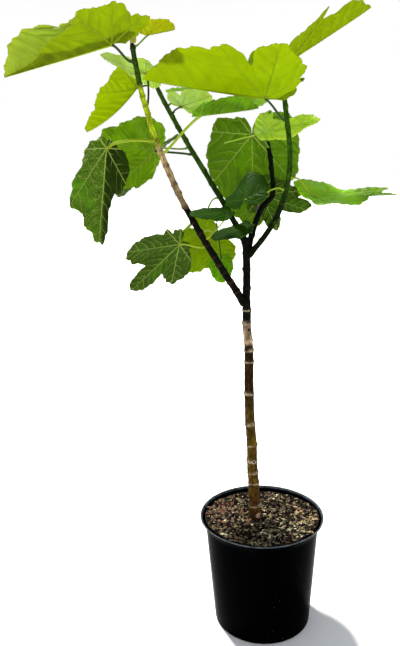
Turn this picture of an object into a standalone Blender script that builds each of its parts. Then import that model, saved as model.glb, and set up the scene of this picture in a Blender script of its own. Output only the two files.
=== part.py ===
"""A young fig tree in a nursery pot, one named object for each piece that grows or is made apart.

Metres, +Z up. The origin is the centre of the pot's flat underside, +X is to the right and +Y to the back.
The trunk rises from the soil to a fork, the leader above it carries three boughs, and every leaf hangs on
a stalk of its own.
"""

import math
import random
from collections import namedtuple

import bmesh
import bpy
from mathutils import Vector, noise
from mathutils.geometry import interpolate_bezier

# Touching pieces keep this much air between them, points nearer than WELD are one, and edges over
# SHARP_ANGLE degrees look sharp.
CLEARANCE = 0.0003
WELD = 0.00001
SHARP_ANGLE = 40

# Pot: a tapered tub whose wall flares out under a thin lip, and holes in its floor.
POT_HEIGHT = 0.230
POT_RIM_RADIUS = 0.1247
POT_BASE_RADIUS = 0.0978
POT_WALL = 0.0022
POT_FLOOR = 0.0030
POT_LIP = 0.0022
POT_FLARE = 0.0095
POT_FLARE_RISE = 0.0180
POT_FLARE_STEPS = 4
POT_FOOT_BEVEL = 0.0040
POT_SIDES = 40
DRAIN_HOLES = 6
DRAIN_RADIUS = 0.007
DRAIN_CIRCLE = 0.066
DRAIN_SIDES = 8

# Soil: fills the pot to a finger's breadth under the rim and is heaped round the trunk's foot.
SOIL_EDGE_LEVEL = 0.2200
SOIL_HEAP = 0.0030
SOIL_HEAP_WIDTH = 0.042
SOIL_LUMP = 0.0035
SOIL_LUMP_SIZE = 0.022
SOIL_RINGS = (0.020, 0.034, 0.052, 0.072, 0.094)
SOIL_LEVEL_SPOT = 0.021
SOIL_DRIFT = 1.25
TRUNK_FOOT = Vector((-0.0114, -0.001, SOIL_EDGE_LEVEL + SOIL_HEAP + CLEARANCE))

# Limbs: each route leaves its foot along one vector and reaches its tip along another, and the leader
# starts a little inside the trunk, whose end is then cut out of it.
Limb = namedtuple("Limb", "foot leaving arriving tip foot_radius tip_radius rings sides")
TRUNK_TOP = Vector((-0.026, 0.018, 0.672))
LEADER_TOP = Vector((-0.026, 0.019, 0.790))
LEADER_INSET = Vector((0.0, 0.0, 0.001))
LIMBS = {
    "trunk": Limb(TRUNK_FOOT, (-0.010, 0.007, 0.160), (-0.004, 0.004, 0.155),
                  TRUNK_TOP, 0.0094, 0.0066, 18, 12),
    "leader": Limb(TRUNK_TOP - LEADER_INSET, (0.002, 0.0, 0.030), (-0.002, 0.0, 0.030),
                   LEADER_TOP, 0.0066, 0.0062, 5, 12),
    "bough_left": Limb((-0.029, 0.017, 0.664), (-0.088, -0.036, 0.140), (-0.014, -0.061, 0.169),
                       (-0.212, -0.112, 1.112), 0.0068, 0.0038, 14, 10),
    "bough_rear": Limb((-0.028, 0.020, 0.784), (-0.051, 0.035, 0.102), (-0.046, 0.035, 0.104),
                       (-0.191, 0.118, 1.082), 0.0058, 0.0044, 10, 10),
    "bough_middle": Limb((-0.022, 0.019, 0.766), (0.042, 0.057, 0.158), (-0.020, 0.061, 0.177),
                         (0.023, 0.088, 0.967), 0.0060, 0.0046, 9, 10),
    "bough_right": Limb((-0.022, 0.017, 0.756), (0.118, -0.033, 0.121), (0.005, 0.007, 0.092),
                        (0.038, -0.032, 1.070), 0.0062, 0.0048, 12, 10),
}
CUT_BY = {
    "leader": ("trunk",),
    "bough_left": ("trunk", "leader"),
    "bough_rear": ("leader",),
    "bough_middle": ("leader", "bough_rear"),
    "bough_right": ("leader", "bough_rear", "bough_middle"),
}
LIMB_TINTS = {
    "trunk": (0.115, 0.085, 0.040),
    "leader": (0.030, 0.024, 0.018),
    "bough_left": (0.150, 0.110, 0.055),
    "bough_rear": (0.035, 0.050, 0.015),
    "bough_middle": (0.028, 0.024, 0.016),
    "bough_right": (0.035, 0.055, 0.015),
}
ROOT_FLARE = 0.0032
ROOT_FLARE_HEIGHT = 0.018
COLLAR_SWELL = 0.0007
COLLAR_WIDTH = 0.004
TRUNK_COLLARS = (0.254, 0.316, 0.369, 0.403, 0.465, 0.592)

# Blade outlines: (degrees from the midrib, reach as a share of the midrib), alike on both halves unless the
# left half has an outline of its own. Each half is pleated between the midrib and its first side vein, and
# its edge waves.
OUTLINES = {
    "blunt": ((0, 1.0), (16, 0.93), (25, 0.86), (36, 0.75), (44, 0.58), (60, 0.56), (85, 0.50), (117, 0.42),
              (150, 0.34), (174, 0.14)),
    "tucked": ((0, 1.0), (4, 0.74), (9, 0.65), (28, 0.56), (48, 0.55), (70, 0.64), (83, 0.59), (104, 0.55),
               (124, 0.44), (138, 0.44), (174, 0.14)),
    "curtain": ((0, 1.0), (9, 0.87), (17, 0.885), (27, 0.765), (43, 0.83), (54, 0.69), (69, 0.42), (86, 0.37),
                (102, 0.31), (120, 0.20), (174, 0.08)),
    "hem": ((0, 1.0), (10, 0.88), (15, 0.62), (28, 0.51), (46, 0.57), (75, 0.57), (92, 0.46), (107, 0.25),
            (130, 0.16), (174, 0.08)),
    "spoon": ((0, 1.0), (10, 0.95), (16, 0.90), (20, 0.64), (25, 0.54), (31, 0.69), (36, 0.47), (59, 0.405),
              (83, 0.285), (130, 0.25), (174, 0.08)),
    "palmate": ((0, 1.0), (20, 0.91), (30, 0.82), (37, 0.70), (50, 0.70), (58, 0.62), (67, 0.44), (80, 0.62),
                (97, 0.65), (118, 0.54), (140, 0.34), (174, 0.08)),
    "heart": ((0, 1.0), (15, 0.90), (24, 0.74), (40, 0.78), (52, 0.78), (68, 0.64), (90, 0.58), (110, 0.53),
              (135, 0.38), (157, 0.25), (174, 0.08)),
    "oval": ((0, 1.0), (10, 0.97), (25, 0.84), (45, 0.68), (75, 0.52), (110, 0.42), (150, 0.28),
             (174, 0.08)),
    "fingered": ((0, 1.0), (9, 0.95), (17, 0.66), (26, 0.46), (38, 0.72), (50, 0.84), (60, 0.72), (76, 0.36),
                 (92, 0.42), (106, 0.46), (130, 0.32), (174, 0.08)),
}
LEFT_HALVES = {"blunt": "tucked", "curtain": "hem"}
RING_SHARES = (0.0, 0.55, 1.0)
BLADE_THICKNESS = 0.015
VEIN_ANGLE = 54
PLEAT = 0.035
WAVE = 0.03
WAVES = 3
SEED = 7

# Leaf stalk: swollen at the limb, thinner towards the blade, and carried on under it as the midrib.
STALK_FOOT_RADIUS = 0.0026
STALK_RADIUS = 0.0018
RIB_RADIUS = 0.0009
STALK_COLLAR = 0.003
STALK_STEPS = 6
STALK_RISE = 0.5
STALK_BEND = 0.28
STALK_UNDER = 0.2
RIB_DEPTH = 0.4
RIB_SHARES = (0.10, 0.24, 0.40)
STALK_SIDES = 6

# Leaves: limb and place along it, blade base, then the midrib's heading and pitch and the blade's roll in
# degrees, length to the tip, breadth as a share of the outline's, fold of the halves, arch of the halves and
# droop of the midrib in degrees, outline and tint.
Leaf = namedtuple("Leaf", "limb at base heading pitch roll length breadth fold arch droop outline tint")
LEAF_TINTS = {
    "sunlit": (0.36, 0.52, 0.02),
    "fresh": (0.12, 0.32, 0.02),
    "pale": (0.35, 0.55, 0.25),
    "dark": (0.03, 0.10, 0.015),
}
LEAVES = {
    "leaf_top_left": Leaf("bough_left", 0.95, (-0.242, -0.125, 1.107), 183, -15, -19,
                          0.174, 0.80, 61, 0, 0, "blunt", "sunlit"),
    "leaf_left_pendent": Leaf("bough_rear", 0.98, (-0.224, 0.085, 1.069), 191, -41, 0,
                              0.130, 0.95, 42, 0, 0, "heart", "sunlit"),
    "leaf_left_front": Leaf("bough_left", 0.70, (-0.258, -0.135, 0.951), 250, -74, -39,
                            0.154, 0.66, -36, 0, 0, "curtain", "dark"),
    "leaf_left_behind": Leaf("bough_rear", 0.42, (-0.191, 0.030, 0.952), 180, 12, 80,
                             0.100, 1.05, 0, 10, 0, "heart", "fresh"),
    "leaf_serrate": Leaf("bough_left", 0.65, (-0.107, -0.090, 1.001), -12, 4, 0,
                         0.096, 0.9, 32, 0, 0, "oval", "fresh"),
    "leaf_pale": Leaf("bough_rear", 0.72, (-0.140, 0.080, 1.034), -37, 10, -45,
                      0.070, 0.8, 0, 0, 0, "palmate", "pale"),
    "leaf_top_centre": Leaf("bough_right", 0.74, (0.001, -0.078, 1.027), 184, 8, -9,
                            0.202, 0.9, 49, 0, 0, "palmate", "sunlit"),
    "leaf_pale_left": Leaf("bough_left", 0.80, (-0.197, -0.044, 1.076), 163, 22, 30,
                           0.088, 0.6, 0, 0, 0, "palmate", "pale"),
    "leaf_young": Leaf("bough_left", 0.99, (-0.186, -0.110, 1.123), 20, 12, 0,
                       0.044, 0.8, 40, 0, 0, "oval", "sunlit"),
    "leaf_top_right": Leaf("bough_right", 0.96, (0.062, 0.055, 1.107), -9, 29, -5,
                           0.161, 0.82, 30, 0, 0, "spoon", "sunlit"),
    "leaf_veined": Leaf("bough_middle", 0.98, (-0.002, 0.150, 0.983), -90, -86, 0,
                        0.184, 0.90, 0, 20, 0, "heart", "fresh"),
    "leaf_low_right": Leaf("bough_middle", 0.22, (0.012, 0.100, 0.866), -8, -20, -80,
                           0.104, 0.9, 0, 0, 0, "fingered", "dark"),
    "leaf_middle_tip": Leaf("bough_middle", 0.97, (0.012, 0.062, 0.981), -18, 9, 40,
                            0.107, 0.75, 10, 0, 0, "palmate", "pale"),
    "leaf_dark_inner": Leaf("bough_right", 0.35, (-0.030, -0.025, 0.862), 80, 47, -30,
                            0.066, 1.25, -20, 0, 0, "oval", "dark"),
    "leaf_narrow_left": Leaf("bough_left", 0.30, (-0.063, -0.050, 0.843), 192, -4, 0,
                             0.068, 0.8, 30, 0, 0, "oval", "dark"),
    "leaf_narrow_low": Leaf("bough_middle", 0.08, (-0.025, 0.000, 0.814), 196, -19, 0,
                            0.072, 0.8, 25, 0, 0, "oval", "dark"),
    "leaf_round": Leaf("bough_rear", 0.2, (-0.070, 0.040, 0.737), -90, -80, 0,
                       0.045, 1.0, 0, 20, 0, "heart", "fresh"),
    "leaf_lobed": Leaf("bough_left", 0.28, (-0.149, -0.040, 0.786), 180, -42, 42,
                       0.122, 1.1, 0, 10, 0, "fingered", "dark"),
    "leaf_left_low": Leaf("bough_left", 0.31, (-0.086, 0.080, 0.785), 200, -33, -65,
                          0.090, 1.0, 0, 0, 0, "palmate", "fresh"),
    "leaf_right": Leaf("bough_right", 0.42, (0.097, -0.030, 0.862), 0, 0, 18,
                       0.146, 0.65, 10, 0, 0, "palmate", "fresh"),
    "leaf_back_upper": Leaf("bough_rear", 0.86, (-0.100, 0.190, 1.075), 45, 12, 0,
                            0.140, 1.0, 10, 0, 20, "palmate", "fresh"),
    "leaf_back_left": Leaf("bough_rear", 0.60, (-0.200, 0.140, 0.960), 150, -35, 0,
                           0.130, 1.0, 10, 0, 25, "palmate", "dark"),
    "leaf_back_right": Leaf("bough_right", 0.88, (0.028, 0.035, 1.060), 105, 0, 0,
                            0.140, 0.9, 10, 0, 20, "palmate", "fresh"),
    "leaf_back_low": Leaf("bough_rear", 0.28, (-0.120, 0.150, 0.770), 165, -40, 0,
                          0.105, 0.9, 10, 0, 20, "palmate", "dark"),
}


def smooth_step(share):
    """Ease from 0 to 1."""
    return 0.5 - 0.5 * math.cos(math.pi * share)


def add_object(name, mesh):
    """Put a mesh in the scene under a name."""
    item = bpy.data.objects.new(name, mesh)
    bpy.context.scene.collection.objects.link(item)
    return item


def dress(item, color, roughness):
    """Give an object its own Principled finish and smooth shading."""
    finish = bpy.data.materials.new(item.name)
    finish.use_nodes = True
    shader = finish.node_tree.nodes["Principled BSDF"]
    shader.inputs["Base Color"].default_value = (*color, 1.0)
    shader.inputs["Roughness"].default_value = roughness
    shader.inputs["Metallic"].default_value = 0.0
    item.data.materials.clear()
    item.data.materials.append(finish)
    item.data.shade_smooth()
    item.data.set_sharp_from_angle(angle=math.radians(SHARP_ANGLE))


def apply_modifiers(item):
    """Make an object's evaluated shape its own mesh."""
    shape = bpy.data.meshes.new_from_object(item.evaluated_get(bpy.context.evaluated_depsgraph_get()))
    item.modifiers.clear()
    item.data = shape


def boolean(item, tools, operation, solver="EXACT"):
    """Join tools to an object, or cut them from it, and remove them."""
    group = bpy.data.collections.new("tools")
    bpy.context.scene.collection.children.link(group)
    for tool in tools:
        group.objects.link(tool)
        tool.hide_render = True
        tool.display_type = "WIRE"
    step = item.modifiers.new("join", "BOOLEAN")
    step.operation = operation
    step.solver = solver
    step.operand_type = "COLLECTION"
    step.collection = group
    apply_modifiers(item)
    for tool in tools:
        bpy.data.objects.remove(tool)
    bpy.data.collections.remove(group)


def turned(profile, sides):
    """Spin a profile of (radius, height) pairs about the Z axis into a closed body."""
    shape = bmesh.new()
    points = [shape.verts.new((radius, 0.0, height)) for radius, height in profile]
    edges = [shape.edges.new(pair) for pair in zip(points, points[1:])]
    bmesh.ops.spin(shape, geom=points + edges, cent=(0, 0, 0), axis=(0, 0, 1),
                   angle=math.tau, steps=sides, use_merge=True)
    bmesh.ops.remove_doubles(shape, verts=shape.verts, dist=WELD)
    bmesh.ops.recalc_face_normals(shape, faces=shape.faces)
    return shape


def tube(name, points, radii, sides):
    """A round limb with filled ends through points, with a radius at each."""
    curve = bpy.data.curves.new(name, "CURVE")
    curve.dimensions = "3D"
    curve.bevel_depth = 1.0
    curve.bevel_resolution = sides // 2 - 2
    curve.use_fill_caps = True
    spline = curve.splines.new("POLY")
    spline.points.add(len(points) - 1)
    for knot, point, radius in zip(spline.points, points, radii):
        knot.co = (*point, 1.0)
        knot.radius = radius
    guide = bpy.data.objects.new(name + "_route", curve)
    bpy.context.scene.collection.objects.link(guide)
    mesh = bpy.data.meshes.new_from_object(guide.evaluated_get(bpy.context.evaluated_depsgraph_get()))
    bpy.data.objects.remove(guide)
    bpy.data.curves.remove(curve)
    shape = bmesh.new()
    shape.from_mesh(mesh)
    bmesh.ops.remove_doubles(shape, verts=shape.verts, dist=WELD)
    shape.to_mesh(mesh)
    shape.free()
    return mesh


def flare_heights():
    """Heights at which the pot's flare has a ring of points."""
    under = POT_HEIGHT - POT_LIP
    return [under - POT_FLARE_RISE * (1.0 - step / POT_FLARE_STEPS) for step in range(POT_FLARE_STEPS + 1)]


def pot_radius(height):
    """Outer radius of the pot's wall, with its flare under the lip."""
    straight = POT_BASE_RADIUS + (POT_RIM_RADIUS - POT_FLARE - POT_BASE_RADIUS) * height / POT_HEIGHT
    share = max(0.0, 1.0 + (height + POT_LIP - POT_HEIGHT) / POT_FLARE_RISE)
    return straight + POT_FLARE * share ** 2


def build_pot():
    """A thin tub with a flared lip, standing on its flat floor."""
    profile = [(0.0, 0.0), (POT_BASE_RADIUS - POT_FOOT_BEVEL, 0.0)]
    profile += [(pot_radius(POT_FOOT_BEVEL), POT_FOOT_BEVEL)]
    profile += [(pot_radius(height), height) for height in flare_heights()]
    profile += [(POT_RIM_RADIUS, POT_HEIGHT - POT_LIP * 0.3), (POT_RIM_RADIUS - POT_LIP * 0.6, POT_HEIGHT)]
    profile += [(pot_radius(height) - POT_WALL, height) for height in reversed(flare_heights())]
    profile += [(pot_radius(POT_FLOOR) - POT_WALL, POT_FLOOR), (0.0, POT_FLOOR)]
    shape = turned(profile, POT_SIDES)
    mesh = bpy.data.meshes.new("pot")
    shape.to_mesh(mesh)
    shape.free()
    pot = add_object("pot", mesh)
    drills = []
    for index in range(DRAIN_HOLES):
        angle = math.tau * (index + 0.5) / DRAIN_HOLES
        drill = bmesh.new()
        bmesh.ops.create_cone(drill, cap_ends=True, segments=DRAIN_SIDES, radius1=DRAIN_RADIUS,
                              radius2=DRAIN_RADIUS, depth=POT_FLOOR * 3)
        spot = Vector((math.cos(angle), math.sin(angle), 0.0)) * DRAIN_CIRCLE
        bmesh.ops.translate(drill, verts=drill.verts, vec=spot + Vector((0, 0, POT_FLOOR / 2)))
        cutter = bpy.data.meshes.new("drill")
        drill.to_mesh(cutter)
        drill.free()
        drills.append(bpy.data.objects.new("drill", cutter))
    boolean(pot, drills, "DIFFERENCE")
    dress(pot, (0.012, 0.013, 0.015), 0.42)


def build_soil():
    """The compost in the pot, level where the trunk stands and lumpy round it."""
    floor_radius = pot_radius(POT_FLOOR) - POT_WALL - CLEARANCE
    edge_radius = pot_radius(SOIL_EDGE_LEVEL) - POT_WALL - CLEARANCE
    bottom = POT_FLOOR + CLEARANCE
    profile = [(0.0, bottom), (floor_radius - CLEARANCE, bottom)]
    profile += [(pot_radius(height) - POT_WALL - 2 * CLEARANCE, height)
                for height in flare_heights() if height < SOIL_EDGE_LEVEL]
    profile += [(edge_radius - CLEARANCE, SOIL_EDGE_LEVEL)]
    profile += [(radius, SOIL_EDGE_LEVEL) for radius in reversed(SOIL_RINGS)]
    profile += [(0.0, SOIL_EDGE_LEVEL)]
    shape = turned(profile, POT_SIDES)
    foot = Vector((TRUNK_FOOT.x, TRUNK_FOOT.y))
    for vertex in shape.verts:
        radius = vertex.co.xy.length
        if vertex.co.z < SOIL_EDGE_LEVEL - CLEARANCE or radius > edge_radius - 2 * CLEARANCE:
            continue
        inward = 1.0 - radius / edge_radius
        vertex.co.xy += foot * smooth_step(min(1.0, inward * SOIL_DRIFT))
        away = max(0.0, (vertex.co.xy - foot).length - SOIL_LEVEL_SPOT)
        vertex.co.z += SOIL_HEAP * math.exp(-((away / SOIL_HEAP_WIDTH) ** 2))
        if away > 0:
            vertex.co.z += SOIL_LUMP * noise.noise(vertex.co / SOIL_LUMP_SIZE)
    mesh = bpy.data.meshes.new("soil")
    shape.to_mesh(mesh)
    shape.free()
    dress(add_object("soil", mesh), (0.050, 0.030, 0.018), 0.95)


def route(limb, steps):
    """Points along a limb, from its foot to its tip."""
    foot, tip = Vector(limb.foot), Vector(limb.tip)
    return interpolate_bezier(foot, foot + Vector(limb.leaving), tip - Vector(limb.arriving), tip, steps)


def limb_place(name, share):
    """The point on a limb's centre line at a share of its route, and the direction it runs in there."""
    points = route(LIMBS[name], LIMBS[name].rings)
    place = share * (len(points) - 1)
    ring = min(int(place), len(points) - 2)
    return points[ring].lerp(points[ring + 1], place - ring), (points[ring + 1] - points[ring]).normalized()


def limb_radius(name, share, height):
    """Radius of a limb at a share of its route and a height, with the trunk's flare and its collars."""
    limb = LIMBS[name]
    radius = limb.foot_radius + (limb.tip_radius - limb.foot_radius) * share
    if name == "trunk":
        radius += ROOT_FLARE * math.exp(-(height - TRUNK_FOOT.z) / ROOT_FLARE_HEIGHT)
        for collar in TRUNK_COLLARS:
            radius += COLLAR_SWELL * math.exp(-(((height - collar) / COLLAR_WIDTH) ** 2))
    return radius


def limb_tube(name, spare=0.0):
    """The limb's solid, or a copy that is thicker and longer all round by spare."""
    limb = LIMBS[name]
    points = route(limb, limb.rings)
    radii = [limb_radius(name, index / (limb.rings - 1), point.z) + spare
             for index, point in enumerate(points)]
    if spare:
        points[0] += (points[0] - points[1]).normalized() * spare
        points[-1] += (points[-1] - points[-2]).normalized() * spare
    return tube(name, points, radii, limb.sides)


def build_limbs():
    """Trunk, leader and boughs, each bough cut to sit round the limbs that carry it."""
    for name in LIMBS:
        item = add_object(name, limb_tube(name))
        if name == "trunk":
            for vertex in item.data.vertices:
                if vertex.co.z < TRUNK_FOOT.z + CLEARANCE:
                    vertex.co.z = TRUNK_FOOT.z
        tools = [bpy.data.objects.new("room", limb_tube(other, CLEARANCE)) for other in CUT_BY.get(name, ())]
        if tools:
            boolean(item, tools, "DIFFERENCE")
        dress(item, LIMB_TINTS[name], 0.75)


def half_outline(outline, left):
    """The outline's marks on one half of the blade."""
    return OUTLINES[LEFT_HALVES.get(outline, outline) if left else outline]


def reach(angle, outline):
    """Distance from the stalk to the blade's edge, as a share of the midrib, in one direction."""
    turn = abs(math.degrees(angle))
    marks = half_outline(outline, angle > 0)
    for (start, near), (end, far) in zip(marks, marks[1:]):
        if turn <= end:
            return near + (far - near) * smooth_step((turn - start) / (end - start))
    return marks[-1][1]


def arc(length, start, turning):
    """End of an arc that sets out at an angle and turns evenly, as (forward, up)."""
    if turning == 0.0:
        return length * math.cos(start), length * math.sin(start)
    end = start + turning * length
    return (math.sin(end) - math.sin(start)) / turning, (math.cos(start) - math.cos(end)) / turning


def leaf_axes(leaf):
    """Midrib, left-hand side and upper face of a leaf as directions."""
    heading, pitch, roll = (math.radians(value) for value in (leaf.heading, leaf.pitch, leaf.roll))
    ahead = Vector((math.cos(heading), math.sin(heading), 0.0))
    level = Vector((-math.sin(heading), math.cos(heading), 0.0))
    forward = ahead * math.cos(pitch) + Vector((0.0, 0.0, math.sin(pitch)))
    up = forward.cross(level)
    side = level * math.cos(roll) + up * math.sin(roll)
    return forward, side, forward.cross(side)


def blade_point(leaf, phase, angle, share, lift=0.0):
    """Place the point that lies a share of the way from the stalk to the edge in one direction."""
    forward, side, up = leaf_axes(leaf)
    distance = leaf.length * share * reach(angle, leaf.outline)
    along = distance * math.cos(angle)
    across = distance * math.sin(angle) * leaf.breadth
    pleat = math.sin(math.pi * min(1.0, abs(math.degrees(angle)) / VEIN_ANGLE)) ** 2
    lift += PLEAT * distance * pleat + WAVE * leaf.length * share ** 2 * math.sin(WAVES * angle + phase)
    out, rise = arc(abs(across), math.radians(leaf.fold), -math.radians(leaf.arch) / leaf.length)
    turning = -math.radians(leaf.droop) / leaf.length
    ahead, sag = arc(along, 0.0, turning)
    tilt = turning * along
    normal = up * math.cos(tilt) - forward * math.sin(tilt)
    place = Vector(leaf.base) + forward * ahead + up * sag
    return place + side * math.copysign(out, across) + normal * (rise + lift)


def blade_columns(outline):
    """Directions from the stalk at which the blade has points, from one side of the notch to the other."""
    right = [-math.radians(turn) for turn, _ in reversed(half_outline(outline, False)[1:])]
    return right + [math.radians(turn) for turn, _ in half_outline(outline, True)]


def build_blade(name, leaf, phase):
    """The leaf's blade: a grid laid out from the stalk, folded and bent, with its thickness."""
    columns = blade_columns(leaf.outline)
    shape = bmesh.new()
    bmesh.ops.create_grid(shape, x_segments=len(columns) - 1, y_segments=len(RING_SHARES) - 1, size=0.5)
    for vertex in shape.verts:
        column = round((vertex.co.x + 0.5) * (len(columns) - 1))
        ring = round((vertex.co.y + 0.5) * (len(RING_SHARES) - 1))
        vertex.co = blade_point(leaf, phase, columns[column], RING_SHARES[ring])
    bmesh.ops.remove_doubles(shape, verts=shape.verts, dist=WELD)
    mesh = bpy.data.meshes.new(name)
    shape.to_mesh(mesh)
    shape.free()
    blade = add_object(name, mesh)
    thicken = blade.modifiers.new("thickness", "SOLIDIFY")
    thicken.thickness = BLADE_THICKNESS * leaf.length
    thicken.offset = 0.0
    apply_modifiers(blade)
    return blade


def build_stalk(name, leaf, phase):
    """The leaf's stalk from its limb to the blade, and on under the blade as the midrib."""
    root, run = limb_place(leaf.limb, leaf.at)
    base = Vector(leaf.base)
    outward = base - root
    outward = (outward - run * outward.dot(run)).normalized()
    start = root + outward * (limb_radius(leaf.limb, leaf.at, root.z) + 2 * CLEARANCE)
    forward, _, up = leaf_axes(leaf)
    arriving = ((base - start).normalized() + forward.lerp(up, STALK_UNDER)).normalized()
    collar = start + outward * STALK_COLLAR
    leaving = (outward + run * STALK_RISE).normalized()
    pull = (base - collar).length * STALK_BEND
    points = [start]
    points += interpolate_bezier(collar, collar + leaving * pull, base - arriving * pull, base, STALK_STEPS)
    radii = [STALK_FOOT_RADIUS, STALK_FOOT_RADIUS]
    radii += [STALK_RADIUS] * (STALK_STEPS - 1)
    for share in RIB_SHARES:
        points.append(blade_point(leaf, phase, 0.0, share, lift=-BLADE_THICKNESS * leaf.length * RIB_DEPTH))
        radii.append(STALK_RADIUS + (RIB_RADIUS - STALK_RADIUS) * share / RIB_SHARES[-1])
    return bpy.data.objects.new(name + "_stalk", tube(name, points, radii, STALK_SIDES))


def build_leaves():
    """Every leaf, its blade joined to its stalk."""
    dealer = random.Random(SEED)
    for name, leaf in LEAVES.items():
        phase = dealer.uniform(0.0, math.tau)
        blade = build_blade(name, leaf, phase)
        boolean(blade, [build_stalk(name, leaf, phase)], "UNION", "MANIFOLD")
        dress(blade, LEAF_TINTS[leaf.tint], 0.45)


def main():
    for item in list(bpy.data.objects):
        bpy.data.objects.remove(item)
    build_pot()
    build_soil()
    build_limbs()
    build_leaves()


main()
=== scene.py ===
# %% [markdown]
# # A young fig tree in a nursery pot
#
# The plant is already built once as plain solids: a pot, its compost, six limbs and twenty-four leaves.
# This lesson dresses them. Each limb gets bark with leaf scars, each leaf gets its toothed edge, its veins
# and its two faces, and the compost gets its crumbs and chips. The plain solids stay underneath as the frame
# that everything has to fit.

# %% Load the frame and note its size
import math
import random
from collections import namedtuple

import bmesh
import bpy
from mathutils import Matrix, Vector, noise
from mathutils.geometry import interpolate_bezier


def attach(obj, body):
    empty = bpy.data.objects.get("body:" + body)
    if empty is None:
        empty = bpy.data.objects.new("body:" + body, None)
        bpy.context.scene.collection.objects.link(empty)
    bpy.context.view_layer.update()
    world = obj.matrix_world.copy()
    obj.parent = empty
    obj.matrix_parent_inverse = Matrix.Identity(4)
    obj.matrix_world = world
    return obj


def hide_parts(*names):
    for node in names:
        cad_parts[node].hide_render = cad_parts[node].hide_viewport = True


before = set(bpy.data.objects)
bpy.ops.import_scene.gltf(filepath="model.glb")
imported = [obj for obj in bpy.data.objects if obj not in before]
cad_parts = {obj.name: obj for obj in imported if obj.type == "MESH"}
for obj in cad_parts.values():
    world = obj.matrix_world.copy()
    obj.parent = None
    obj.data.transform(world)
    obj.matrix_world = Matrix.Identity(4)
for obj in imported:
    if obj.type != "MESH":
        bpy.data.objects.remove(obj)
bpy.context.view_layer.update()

# %% [markdown]
# ## The camera
#
# The camera stands at the height of the lower leaves and looks slightly down. It could be aimed with a
# Track To constraint. A matrix made from a place and two angles is shorter, and it gives the same picture
# each run.

# %% Camera
CAMERA_PLACE = Vector((-0.1158, -1.2079, 0.9045))
CAMERA_DOWN = 12.73
CAMERA_ROLL = -1.43
PICTURE_HEIGHT = 646
FOCAL_PIXELS = 650
SENSOR = 36.0

camera_data = bpy.data.cameras.new("camera")
camera_data.sensor_fit = "VERTICAL"
camera_data.sensor_height = SENSOR
camera_data.lens = SENSOR * FOCAL_PIXELS / PICTURE_HEIGHT
camera = bpy.data.objects.new("camera", camera_data)
bpy.context.scene.collection.objects.link(camera)
level = Matrix.Rotation(math.radians(90 - CAMERA_DOWN), 4, "X")
lean = Matrix.Rotation(math.radians(CAMERA_ROLL), 4, "Z")
camera.matrix_world = Matrix.Translation(CAMERA_PLACE) @ level @ lean
bpy.context.scene.camera = camera
print("lens", round(camera_data.lens, 2), "mm")

# %% [markdown]
# ## Writing materials as expressions
#
# A shader is a graph, and a graph is tedious to read. Here a socket is wrapped in a small class, so that
# `1 - mask * 0.5` adds its Math nodes by itself. Every other node comes from one method, which takes the
# node's type, the values or links of its sockets, and its settings.

# %% Sockets that do arithmetic
class Wire:
    """An output socket that adds Math nodes when Python computes with it."""

    def __init__(self, finish, socket):
        self.finish = finish
        self.socket = socket

    def math(self, operation, *values):
        return self.finish.node("ShaderNodeMath", dict(enumerate(values)), operation=operation)

    def __add__(self, other):
        return self.math("ADD", self, other)

    def __radd__(self, other):
        return self.math("ADD", other, self)

    def __sub__(self, other):
        return self.math("SUBTRACT", self, other)

    def __rsub__(self, other):
        return self.math("SUBTRACT", other, self)

    def __mul__(self, other):
        return self.math("MULTIPLY", self, other)

    def __rmul__(self, other):
        return self.math("MULTIPLY", other, self)

    def __truediv__(self, other):
        return self.math("DIVIDE", self, other)

    def __abs__(self):
        return self.math("ABSOLUTE", self)

    def fract(self):
        return self.math("FRACT", self)

    def larger(self, other):
        return self.math("MAXIMUM", self, other)

    def step(self, low, high):
        """0 below low, 1 above high and smooth in between; low may be the larger."""
        return self.finish.node("ShaderNodeMapRange", {"Value": self, "From Min": low, "From Max": high},
                                interpolation_type="SMOOTHSTEP")

    def part(self, name):
        """Another output of the same node."""
        return Wire(self.finish, self.socket.node.outputs[name])


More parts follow.
